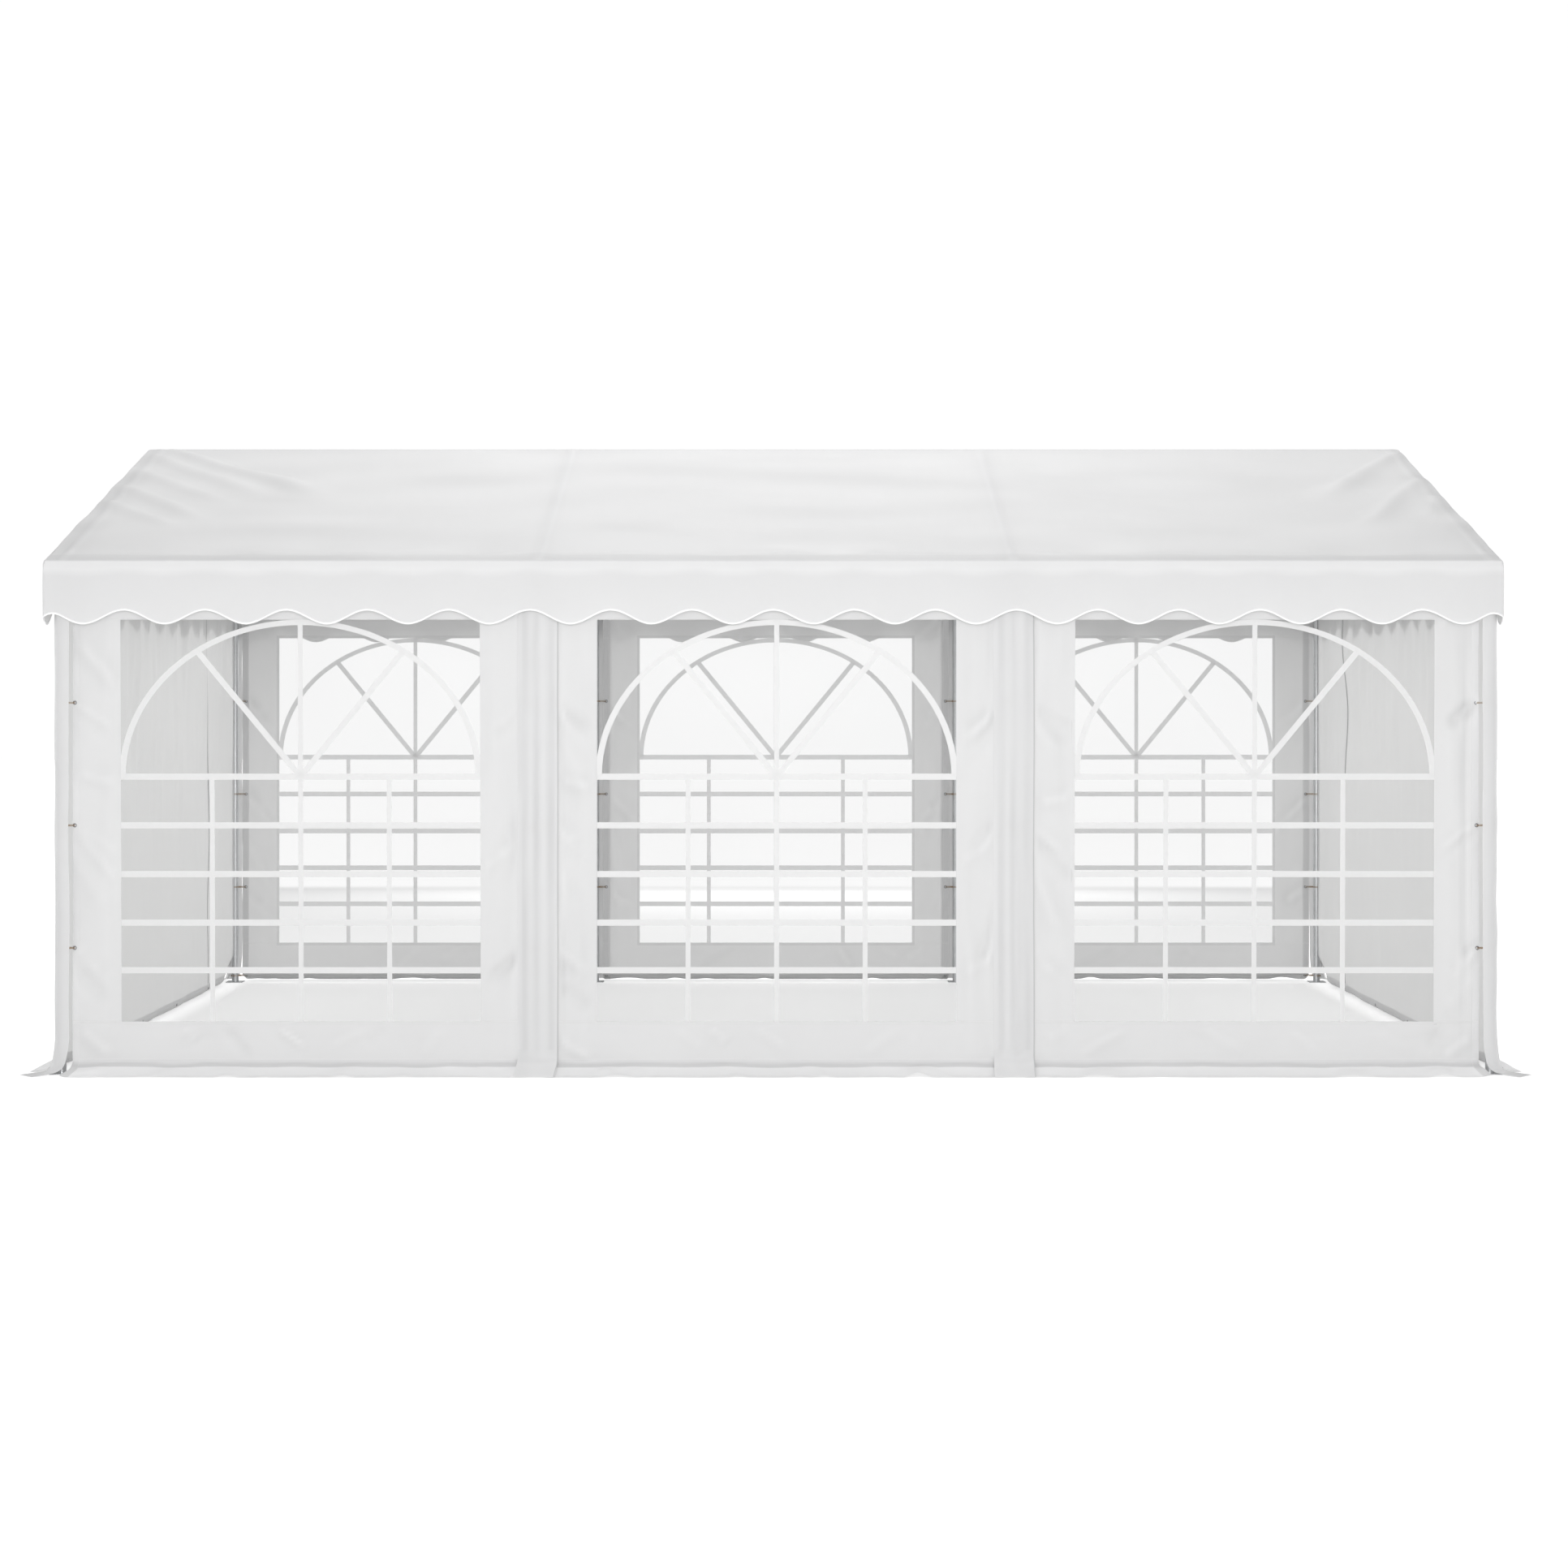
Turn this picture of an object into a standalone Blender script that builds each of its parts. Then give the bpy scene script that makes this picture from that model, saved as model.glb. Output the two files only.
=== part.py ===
# Party tent of three bays: a frame of steel tubes under a gabled cloth roof, with a scalloped
# valance, six walls with clear film windows and two plain end walls.
# Metres, +Z up. X runs along the ridge, the front is at -Y, and the ground is z = 0.
import math

import bmesh
import bpy
from mathutils import Matrix, Vector

# Plan, from pole centre to pole centre
BAY = 2.0
BAY_COUNT = 3
DEPTH = 4.0
HALF_LENGTH = BAY * BAY_COUNT / 2
HALF_DEPTH = DEPTH / 2
POLE_X = [BAY * i - HALF_LENGTH for i in range(BAY_COUNT + 1)]
BAY_X = [BAY * (i + 0.5) - HALF_LENGTH for i in range(BAY_COUNT)]

# Heights of the outer cloth
RIDGE_TOP = 2.790
EAVE_FOLD = 2.155
COVER_EDGE = 2.150

# What touches keeps this much apart
GAP = 0.0003

# Steel tubes, and the sleeves that they are plugged into
TUBE_RADIUS = 0.019
TUBE_SIDES = 16
SLEEVE_RADIUS = 0.022
LEG_STUB_RADIUS = 0.0215
BAR_STUB_RADIUS = 0.0210
RAFTER_STUB_RADIUS = 0.0205
SLEEVE_REACH = 0.080
SLEEVE_END = 0.018
# Over a corner leg the rafter and the gable bar leave at a narrow angle, so these stubs are long.
RAFTER_STUB_REACH = 0.145
BAR_STUB_REACH = 0.140
PLATE_SIDE = 0.090
PLATE_THICK = 0.004

# Cloth. Positions of a sheet are those of its middle layer.
CLOTH = 0.002
FILM = 0.001
OVERHANG = 0.050
CORNER_ROUND = 0.028
RIDGE_ROUND_STEPS = 4

# Scalloped valance
SCALLOP_MIDDLE = 1.916
SCALLOP_DEPTH = 0.029
SCALLOPS_LONG = 18
SCALLOPS_END = 14
STEPS_PER_SCALLOP = 6

# Wall sheets, and the windows in them
WALL_EDGE = 0.040
WINDOW_HALF = 0.755
WINDOW_BOTTOM = 0.221
WINDOW_TOP = 1.907
FILM_OVERLAP = 0.015

# A wall's foot flares outwards over the ground: (distance outwards, height)
SKIRT = [(0.000, 0.061), (0.003, 0.040), (0.012, 0.027), (0.050, 0.015), (0.149, 0.0012)]

# Strips that cover the poles
STRIP_WIDTH = 0.167
STRIP_FOOT = [(0.028, 0.065), (0.045, 0.042), (0.090, 0.026), (0.165, 0.0012)]
STRIP_BEND = 0.100
FLAP_RADIUS = 0.030
FLAP_FRONT = 0.034
FLAP_SEAM = (0.062, 0.085)
FLAP_ARC_STEPS = 6
FLAP_BEND = 0.100
# Each row of the flap's foot: (height, how far it has spread towards the ground line)
FLAP_FOOT = [(0.075, 0.12), (0.055, 0.35), (0.035, 0.62), (0.015, 0.85), (0.0012, 1.00)]
# The ground line's two ends, outwards from the pole along X and along Y
FLAP_GROUND = ((0.091, 0.149), (0.165, 0.067))

# The cover lies on the sleeves. Its slope is the line through the eave fold that touches a
# circle round the ridge tube.
COVER_RADIUS = SLEEVE_RADIUS + GAP + CLOTH / 2
RIDGE_Z = RIDGE_TOP - CLOTH / 2 - COVER_RADIUS
COVER_HALF_DEPTH = HALF_DEPTH + OVERHANG
COVER_HALF_LENGTH = HALF_LENGTH + OVERHANG
FOLD_BELOW_RIDGE = RIDGE_Z - EAVE_FOLD
SLOPE = math.asin(COVER_RADIUS / math.hypot(COVER_HALF_DEPTH, FOLD_BELOW_RIDGE)) + math.atan2(
    FOLD_BELOW_RIDGE, COVER_HALF_DEPTH
)
RAIL_Z = RIDGE_Z - HALF_DEPTH * math.tan(SLOPE)
WALL_TOP = RAIL_Z - SLEEVE_RADIUS - GAP
END_WALL_TOP = RAIL_Z - BAR_STUB_RADIUS - GAP

STEEL = ("steel_tube", (0.42, 0.43, 0.44), 0.38, 0.9)
SHEET = ("cover_sheet", (0.86, 0.87, 0.87), 0.62, 0.0)
CLEAR = ("window_film", (0.90, 0.92, 0.92), 0.12, 0.0)


def clear_scene():
    for old in list(bpy.data.objects):
        bpy.data.objects.remove(old, do_unlink=True)


def material(name, look):
    slot, colour, roughness, metallic = look
    made = bpy.data.materials.new(f"{slot}_{name}")
    made.use_nodes = True
    shader = made.node_tree.nodes["Principled BSDF"]
    shader.inputs["Base Color"].default_value = (*colour, 1.0)
    shader.inputs["Roughness"].default_value = roughness
    shader.inputs["Metallic"].default_value = metallic
    if slot == CLEAR[0]:
        shader.inputs["Alpha"].default_value = 0.25
    return made


def place(name, mesh, look, location=(0, 0, 0)):
    placed = bpy.data.objects.new(name, mesh)
    placed.location = location
    bpy.context.scene.collection.objects.link(placed)
    placed.data.materials.clear()
    placed.data.materials.append(material(name, look))
    return placed


def shade_round(mesh):
    mesh.shade_smooth()
    mesh.set_sharp_from_angle(angle=math.radians(35))


def tube_mesh(name, start, end, radius):
    start = Vector(start)
    end = Vector(end)
    along = end - start
    turned = along.to_track_quat("Z", "Y").to_matrix().to_4x4()
    bm = bmesh.new()
    bmesh.ops.create_cone(
        bm,
        cap_ends=True,
        segments=TUBE_SIDES,
        radius1=radius,
        radius2=radius,
        depth=along.length,
        matrix=Matrix.Translation((start + end) / 2) @ turned,
    )
    mesh = bpy.data.meshes.new(name)
    bm.to_mesh(mesh)
    bm.free()
    shade_round(mesh)
    return mesh


def box_mesh(name, low, high):
    low = Vector(low)
    high = Vector(high)
    bm = bmesh.new()
    size = Matrix.Diagonal((*(high - low), 1.0))
    bmesh.ops.create_cube(bm, size=1.0, matrix=Matrix.Translation((low + high) / 2) @ size)
    mesh = bpy.data.meshes.new(name)
    bm.to_mesh(mesh)
    bm.free()
    return mesh


# Welds several shapes into one body.
def welded_mesh(name, shapes):
    others = bpy.data.collections.new(f"{name}_shapes")
    bpy.context.scene.collection.children.link(others)
    first = bpy.data.objects.new(f"{name}_first", shapes[0])
    bpy.context.scene.collection.objects.link(first)
    helpers = [first]
    for i, shape in enumerate(shapes[1:]):
        helper = bpy.data.objects.new(f"{name}_shape_{i}", shape)
        others.objects.link(helper)
        helpers.append(helper)
    union = first.modifiers.new("weld", "BOOLEAN")
    union.operation = "UNION"
    union.solver = "EXACT"
    union.operand_type = "COLLECTION"
    union.collection = others
    graph = bpy.context.evaluated_depsgraph_get()
    mesh = bpy.data.meshes.new_from_object(first.evaluated_get(graph))
    mesh.name = name
    for helper in helpers:
        bpy.data.objects.remove(helper, do_unlink=True)
    bpy.data.collections.remove(others)
    shade_round(mesh)
    return mesh


# A sheet from rows of points. A cell named in holes, as (row, column), stays open.
def sheet_mesh(name, rows, holes=()):
    bm = bmesh.new()
    grid = [[bm.verts.new(point) for point in row] for row in rows]
    for r in range(len(rows) - 1):
        for c in range(len(rows[0]) - 1):
            if (r, c) not in holes:
                bm.faces.new((grid[r][c], grid[r][c + 1], grid[r + 1][c + 1], grid[r + 1][c]))
    bmesh.ops.recalc_face_normals(bm, faces=bm.faces[:])
    mesh = bpy.data.meshes.new(name)
    bm.to_mesh(mesh)
    bm.free()
    return mesh


def place_sheet(name, mesh, look=SHEET, thickness=CLOTH):
    placed = place(name, mesh, look)
    solid = placed.modifiers.new("thickness", "SOLIDIFY")
    solid.thickness = thickness
    solid.offset = 0.0
    solid.use_even_offset = True
    return placed


# Legs stand on square plates that are welded to them.
def make_legs():
    top = RAIL_Z - SLEEVE_REACH - GAP
    half = PLATE_SIDE / 2
    post = tube_mesh("leg_post", (0, 0, PLATE_THICK / 2), (0, 0, top), TUBE_RADIUS)
    plate = box_mesh("leg_plate", (-half, -half, 0), (half, half, PLATE_THICK))
    leg = welded_mesh("leg", [plate, post])
    for side, y in (("front", -HALF_DEPTH), ("back", HALF_DEPTH)):
        for number, x in enumerate(POLE_X, 1):
            place(f"leg_{side}_{number}", leg.copy(), STEEL, (x, y, 0))


def slope_point(y_sign, from_ridge):
    y = y_sign * from_ridge * math.cos(SLOPE)
    z = RIDGE_Z - from_ridge * math.sin(SLOPE)
    return y, z


RAFTER_LENGTH = HALF_DEPTH / math.cos(SLOPE)


# An eave rail is a run of tubes with a connector over each leg. Every connector has a sleeve
# round the rail, a stub down for the leg and a stub up for the rafter, and the corner ones
# have a stub for the gable bar too.
def make_eave_rail(name, y_sign):
    y = y_sign * HALF_DEPTH
    shapes = [tube_mesh("rail", (-HALF_LENGTH, y, RAIL_Z), (HALF_LENGTH, y, RAIL_Z), TUBE_RADIUS)]
    for x in POLE_X:
        left = max(x - SLEEVE_REACH, -HALF_LENGTH - SLEEVE_END)
        right = min(x + SLEEVE_REACH, HALF_LENGTH + SLEEVE_END)
        centre = (x, y, RAIL_Z)
        shapes.append(tube_mesh("sleeve", (left, y, RAIL_Z), (right, y, RAIL_Z), SLEEVE_RADIUS))
        shapes.append(tube_mesh("leg_stub", centre, (x, y, RAIL_Z - SLEEVE_REACH), LEG_STUB_RADIUS))
        stub_y, stub_z = slope_point(y_sign, RAFTER_LENGTH - RAFTER_STUB_REACH)
        shapes.append(tube_mesh("rafter_stub", centre, (x, stub_y, stub_z), RAFTER_STUB_RADIUS))
        if abs(x) == HALF_LENGTH:
            inner = (x, y - y_sign * BAR_STUB_REACH, RAIL_Z)
            shapes.append(tube_mesh("bar_stub", centre, inner, BAR_STUB_RADIUS))
    place(name, welded_mesh(name, shapes), STEEL)


def make_ridge_rail():
    shapes = [tube_mesh("rail", (-HALF_LENGTH, 0, RIDGE_Z), (HALF_LENGTH, 0, RIDGE_Z), TUBE_RADIUS)]
    for x in POLE_X:
        left = max(x - SLEEVE_REACH, -HALF_LENGTH - SLEEVE_END)
        right = min(x + SLEEVE_REACH, HALF_LENGTH + SLEEVE_END)
        shapes.append(tube_mesh("sleeve", (left, 0, RIDGE_Z), (right, 0, RIDGE_Z), SLEEVE_RADIUS))
        for y_sign in (-1, 1):
            stub_y, stub_z = slope_point(y_sign, SLEEVE_REACH)
            stub = tube_mesh("stub", (x, 0, RIDGE_Z), (x, stub_y, stub_z), RAFTER_STUB_RADIUS)
            shapes.append(stub)
    place("ridge_rail", welded_mesh("ridge_rail", shapes), STEEL)


def make_rafters():
    upper = SLEEVE_REACH + GAP
    lower = RAFTER_LENGTH - RAFTER_STUB_REACH - GAP
    for side, y_sign in (("front", -1), ("back", 1)):
        for number, x in enumerate(POLE_X, 1):
            name = f"rafter_{side}_{number}"
            start = (x, *slope_point(y_sign, upper))
            end = (x, *slope_point(y_sign, lower))
            place(name, tube_mesh(name, start, end, TUBE_RADIUS), STEEL)


def make_gable_bars():
    reach = HALF_DEPTH - BAR_STUB_REACH - GAP
    for side, x in (("left", -HALF_LENGTH), ("right", HALF_LENGTH)):
        name = f"gable_bar_{side}"
        mesh = tube_mesh(name, (x, -reach, RAIL_Z), (x, reach, RAIL_Z), TUBE_RADIUS)
        place(name, mesh, STEEL)


# The cover's section, from the front edge over the ridge to the back edge
def cover_section():
    front = [(-COVER_HALF_DEPTH, COVER_EDGE), (-COVER_HALF_DEPTH, EAVE_FOLD)]
    ridge = []
    for i in range(RIDGE_ROUND_STEPS + 1):
        turn = SLOPE * (2 * i / RIDGE_ROUND_STEPS - 1)
        y = COVER_RADIUS * math.sin(turn)
        z = RIDGE_Z + COVER_RADIUS * math.cos(turn)
        ridge.append((y, z))
    back = [(-y, z) for y, z in reversed(front)]
    return front + ridge + back


# One sheet over both slopes and both gables, with softly rounded gable edges
def make_roof_cover():
    section = cover_section()
    bm = bmesh.new()
    left = [bm.verts.new((-COVER_HALF_LENGTH, y, z)) for y, z in section]
    right = [bm.verts.new((COVER_HALF_LENGTH, y, z)) for y, z in section]
    gable_edges = []
    for i in range(len(section) - 1):
        face = bm.faces.new((left[i], right[i], right[i + 1], left[i + 1]))
        gable_edges += [e for e in face.edges if e.verts[0].co.x == e.verts[1].co.x]
    bm.faces.new(left)
    bm.faces.new(right)
    bmesh.ops.recalc_face_normals(bm, faces=bm.faces[:])
    sloping = [e for e in set(gable_edges) if abs(e.verts[0].co.y - e.verts[1].co.y) > GAP]
    bmesh.ops.bevel(
        bm,
        geom=sloping,
        offset=CORNER_ROUND,
        segments=3,
        profile=0.5,
        affect="EDGES",
        clamp_overlap=False,
        material=-1,
    )
    mesh = bpy.data.meshes.new("roof_cover")
    bm.to_mesh(mesh)
    bm.free()
    place_sheet("roof_cover", mesh)


# A valance hangs from the cover's edge and ends in scallops. A crest is where the lower edge
# is high. The front and back ones have a crest in the middle, and the end ones a lobe.
def make_valance(name, half, waves, crest_sign, to_world):
    count = waves * STEPS_PER_SCALLOP
    top = COVER_EDGE - GAP
    upper = [to_world(-half, top), to_world(half, top)]
    lower = []
    for i in range(count + 1):
        along = half * (2 * i / count - 1)
        wave = math.cos(math.pi * waves * along / half)
        lower.append(to_world(along, SCALLOP_MIDDLE + crest_sign * SCALLOP_DEPTH * wave))
    bm = bmesh.new()
    bm.faces.new([bm.verts.new(point) for point in upper + lower[::-1]])
    mesh = bpy.data.meshes.new(name)
    bm.to_mesh(mesh)
    bm.free()
    place_sheet(name, mesh)


def make_valances():
    for side, y in (("front", -COVER_HALF_DEPTH), ("back", COVER_HALF_DEPTH)):
        half = COVER_HALF_LENGTH + CLOTH / 2
        make_valance(f"valance_{side}", half, SCALLOPS_LONG, 1, lambda a, z, y=y: (a, y, z))
    for side, x in (("left", -COVER_HALF_LENGTH), ("right", COVER_HALF_LENGTH)):
        half = COVER_HALF_DEPTH - CLOTH / 2 - GAP
        make_valance(f"valance_{side}", half, SCALLOPS_END, -1, lambda a, z, x=x: (x, a, z))


# A wall with a window hangs in the line of the poles, between two of them.
def make_window_wall(place_name, bay_x, y_sign):
    half = BAY / 2 - WALL_EDGE
    columns = [bay_x - half, bay_x - WINDOW_HALF, bay_x + WINDOW_HALF, bay_x + half]
    profile = [(0.0, WALL_TOP), (0.0, WINDOW_TOP), (0.0, WINDOW_BOTTOM)] + SKIRT
    rows = [[(x, y_sign * (HALF_DEPTH + out), z) for x in columns] for out, z in profile]
    name = f"wall_{place_name}"
    place_sheet(name, sheet_mesh(name, rows, holes={(1, 1)}))


# The clear film is welded to the wall's inner face, all round the window.
def make_window_film(place_name, bay_x, y_sign):
    half = WINDOW_HALF + FILM_OVERLAP
    middle = y_sign * (HALF_DEPTH - CLOTH / 2 - GAP - FILM / 2)
    low = (bay_x - half, middle - FILM / 2, WINDOW_BOTTOM - FILM_OVERLAP)
    high = (bay_x + half, middle + FILM / 2, WINDOW_TOP + FILM_OVERLAP)
    name = f"window_{place_name}"
    place(name, box_mesh(name, low, high), CLEAR)


def make_long_walls():
    for side, y_sign in (("front", -1), ("back", 1)):
        for bay, bay_x in zip(("left", "middle", "right"), BAY_X):
            make_window_wall(f"{side}_{bay}", bay_x, y_sign)
            make_window_film(f"{side}_{bay}", bay_x, y_sign)


def make_end_walls():
    half = HALF_DEPTH - WALL_EDGE
    profile = [(0.0, END_WALL_TOP)] + SKIRT
    for side, x_sign in (("left", -1), ("right", 1)):
        name = f"end_wall_{side}"
        rows = [[(x_sign * (HALF_LENGTH + out), y, z) for y in (-half, half)] for out, z in profile]
        place_sheet(name, sheet_mesh(name, rows))


# A strip hangs over each middle pole and spreads over the feet of the walls beside it.
def make_pole_covers():
    hang = SLEEVE_RADIUS + GAP + CLOTH / 2
    profile = [(hang, WALL_TOP), (hang, STRIP_BEND)] + STRIP_FOOT
    half = STRIP_WIDTH / 2
    for side, y_sign in (("front", -1), ("back", 1)):
        for hand, pole_x in (("left", POLE_X[1]), ("right", POLE_X[2])):
            name = f"pole_cover_{side}_{hand}"
            columns = (pole_x - half, pole_x, pole_x + half)
            rows = [[(x, y_sign * (HALF_DEPTH + out), z) for x in columns] for out, z in profile]
            place_sheet(name, sheet_mesh(name, rows))


# The flap's line in plan, outwards from the corner pole along X and along Y: from its free
# edge at the long side, round the pole, to the end wall that it is sewn to.
def flap_line():
    line = [(-FLAP_FRONT, FLAP_RADIUS)]
    for i in range(FLAP_ARC_STEPS + 1):
        turn = math.pi / 2 * i / FLAP_ARC_STEPS
        line.append((FLAP_RADIUS * math.sin(turn), FLAP_RADIUS * math.cos(turn)))
    seam = CLOTH + GAP * 2
    line += [(FLAP_RADIUS, -FLAP_FRONT)] + [(seam, -back) for back in FLAP_SEAM]
    return line


def flap_row(line, height, spread):
    row = []
    for i, (u, v) in enumerate(line):
        along = i / (len(line) - 1)
        ground_u = FLAP_GROUND[0][0] + (FLAP_GROUND[1][0] - FLAP_GROUND[0][0]) * along
        ground_v = FLAP_GROUND[0][1] + (FLAP_GROUND[1][1] - FLAP_GROUND[0][1]) * along
        row.append((u + (ground_u - u) * spread, v + (ground_v - v) * spread, height))
    return row


def make_corner_flaps():
    line = flap_line()
    foot = [(WALL_TOP, 0.0), (FLAP_BEND, 0.0)] + FLAP_FOOT
    for side, y_sign in (("front", -1), ("back", 1)):
        for hand, x_sign in (("left", -1), ("right", 1)):
            rows = []
            for height, spread in foot:
                row = flap_row(line, height, spread)
                rows.append(
                    [(x_sign * (HALF_LENGTH + u), y_sign * (HALF_DEPTH + v), z) for u, v, z in row]
                )
            name = f"corner_flap_{side}_{hand}"
            place_sheet(name, sheet_mesh(name, rows))


def main():
    clear_scene()
    make_legs()
    make_eave_rail("eave_rail_front", -1)
    make_eave_rail("eave_rail_back", 1)
    make_ridge_rail()
    make_rafters()
    make_gable_bars()
    make_roof_cover()
    make_valances()
    make_long_walls()
    make_end_walls()
    make_pole_covers()
    make_corner_flaps()


main()
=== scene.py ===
import math
import random

import bmesh
import bpy
import numpy as np
from mathutils import Matrix, Vector


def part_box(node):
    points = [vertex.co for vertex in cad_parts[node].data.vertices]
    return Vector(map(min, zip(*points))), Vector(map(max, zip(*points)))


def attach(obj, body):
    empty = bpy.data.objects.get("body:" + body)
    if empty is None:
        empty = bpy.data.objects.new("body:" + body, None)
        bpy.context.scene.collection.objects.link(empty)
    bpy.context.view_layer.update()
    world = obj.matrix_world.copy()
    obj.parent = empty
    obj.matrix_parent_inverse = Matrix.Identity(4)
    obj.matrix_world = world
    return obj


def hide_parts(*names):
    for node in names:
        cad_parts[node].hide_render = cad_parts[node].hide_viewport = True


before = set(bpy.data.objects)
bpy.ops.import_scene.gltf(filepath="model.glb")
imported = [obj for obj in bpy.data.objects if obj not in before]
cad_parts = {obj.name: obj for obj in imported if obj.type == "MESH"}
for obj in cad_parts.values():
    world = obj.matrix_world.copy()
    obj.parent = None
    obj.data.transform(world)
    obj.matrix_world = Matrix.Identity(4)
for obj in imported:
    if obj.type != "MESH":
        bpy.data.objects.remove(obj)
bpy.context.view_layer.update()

# A white party tent of three bays. Metres, X along the ridge, the front at -Y.

print("measuring the frame")
legLow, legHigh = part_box("leg_front_1")
valanceLow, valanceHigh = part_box("valance_front")

tent = dict(
    halfLength=-(legLow.x + legHigh.x) / 2,  # corner pole centres
    halfDepth=-(legLow.y + legHigh.y) / 2,
    bays=3,
    wallTop=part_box("wall_front_middle")[1].z,
    railRadius=0.022,
)
tent["bay"] = 2 * tent["halfLength"] / tent["bays"]
bayCentres = [tent["bay"] * (i + 0.5) - tent["halfLength"] for i in range(tent["bays"])]
poleCentres = [tent["bay"] * i - tent["halfLength"] for i in range(tent["bays"] + 1)]


# 0 up to low and 1 from high, with a soft step between them
def smoothStep(low, high, value):
    share = np.clip((np.asarray(value, float) - low) / (high - low), 0, 1)
    return share * share * (3 - 2 * share)


# Soft waves in all directions, the same ones each run; they reach about 1 either way.
def ripples(x, y, seed, count, shortest, longest):
    draw = random.Random(seed)
    total = np.zeros(np.broadcast(x, y).shape)
    for _ in range(count):
        length = draw.uniform(shortest, longest)
        turn = draw.uniform(-1, 1) * math.pi / 2
        phase = draw.uniform(0, math.tau)
        total = total + np.sin(math.tau * (x * math.cos(turn) + y * math.sin(turn)) / length + phase)
    return total / math.sqrt(count)


# Creases are (x, y) from, (x, y) to, width, height: rounded ridges or dents that fade out at both ends
def creased(x, y, creases):
    total = np.zeros(np.broadcast(x, y).shape)
    for (x0, y0), (x1, y1), width, height in creases:
        long = math.hypot(x1 - x0, y1 - y0)
        dx, dy = (x1 - x0) / long, (y1 - y0) / long
        along = ((x - x0) * dx + (y - y0) * dy) / long
        away = (x - x0) * dy - (y - y0) * dx
        fade = smoothStep(-0.08, 0.3, along) * (1 - smoothStep(0.7, 1.08, along))
        total = total + height * fade * np.exp(-((away / width) ** 2))
    return total


# Length along a line at each of its points
def lengthsAlong(points):
    return np.concatenate([[0], np.cumsum(np.linalg.norm(np.diff(points, axis=0), axis=1))])


# Rounds a row of values, but for its ends
def softened(values, times):
    for _ in range(times):
        values[1:-1] = (values[:-2] + 2 * values[1:-1] + values[2:]) / 4
    return values


def meshOf(bm, name):
    mesh = bpy.data.meshes.new(name)
    bm.to_mesh(mesh)
    bm.free()
    return mesh


# Adds a mesh to a bmesh and deletes it
def takeUp(bm, mesh):
    bm.from_mesh(mesh)
    bpy.data.meshes.remove(mesh)


# A grid of columns by rows, moved by place(u, v) to points and flat cloth coordinates. hole(u, v) cuts faces
# out, band(u, v) picks their material, and shade(u, v) is how much the cloth is painted lighter or darker
# there, as painted light and shade.
def sheetMesh(name, columns, rows, place, hole=None, band=None, shade=None):
    columns, rows = np.asarray(columns, float), np.asarray(rows, float)
    bm = bmesh.new()
    bmesh.ops.create_grid(bm, x_segments=len(columns) - 1, y_segments=len(rows) - 1, size=0.5)
    flat = np.array([vert.co[:2] for vert in bm.verts]) + 0.5
    u = columns[np.rint(flat[:, 0] * (len(columns) - 1)).astype(int)]
    v = rows[np.rint(flat[:, 1] * (len(rows) - 1)).astype(int)]
    points, cloth = place(u, v)
    uvLayer = bm.loops.layers.uv.new("cloth")
    for vert, point in zip(bm.verts, points):
        vert.co = point
    if shade:
        toneLayer = bm.verts.layers.float.new("tone")
        for vert, tone in zip(bm.verts, shade(u, v)):
            vert[toneLayer] = tone
    bm.verts.index_update()
    for face in bm.faces:
        for loop in face.loops:
            loop[uvLayer].uv = cloth[loop.vert.index]
    inside = []
    for face in bm.faces if hole or band else ():
        a, b = np.mean([(u[vert.index], v[vert.index]) for vert in face.verts], axis=0)
        if band:
            face.material_index = band(a, b)
        if hole and hole(a, b):
            inside.append(face)
    if inside:
        bmesh.ops.delete(bm, geom=inside, context="FACES")
    mesh = meshOf(bm, name)
    mesh.shade_smooth()
    return mesh


def addPiece(name, mesh, finish, replaced=()):
    piece = bpy.data.objects.new(name, mesh)
    bpy.context.scene.collection.objects.link(piece)
    for one in finish if isinstance(finish, (list, tuple)) else [finish]:
        mesh.materials.append(one)
    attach(piece, "root")
    if replaced:
        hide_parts(*replaced)
    return piece


# Marks that run between two lists of numbers, with the given spacing at most.
def spaced(stops, step):
    marks = [stops[0]]
    for low, high in zip(stops, stops[1:]):
        count = max(1, math.ceil((high - low) / step - 1e-6))
        marks += [low + (high - low) * (i + 1) / count for i in range(count)]
    return marks


print("mixing the materials")


# inputs gives each socket a value or a socket to read
def addNode(tree, kind, inputs=None, **settings):
    made = tree.nodes.new("ShaderNode" + kind)
    for key, value in settings.items():
        setattr(made, key, value)
    for key, value in (inputs or {}).items():
        if isinstance(value, bpy.types.NodeSocket):
            tree.links.new(value, made.inputs[key])
        elif value is not None:
            made.inputs[key].default_value = value
    return made


def newGroup(name, inputs, outputs):
    group = bpy.data.node_groups.new(name, "ShaderNodeTree")
    for label, kind, value in inputs:
        socket = group.interface.new_socket(name=label, in_out="INPUT", socket_type=kind)
        if value is not None:
            socket.default_value = value
    for label, kind in outputs:
        group.interface.new_socket(name=label, in_out="OUTPUT", socket_type=kind)
    return group, group.nodes.new("NodeGroupInput"), group.nodes.new("NodeGroupOutput")


def mathNode(tree, operation, first, second=0.0, third=None):
    return addNode(tree, "Math", {0: first, 1: second, 2: third}, operation=operation).outputs[0]


def mixColours(tree, factor, first, second):
    return addNode(tree, "Mix", {0: factor, 6: first, 7: second}, data_type="RGBA").outputs[2]


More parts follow.
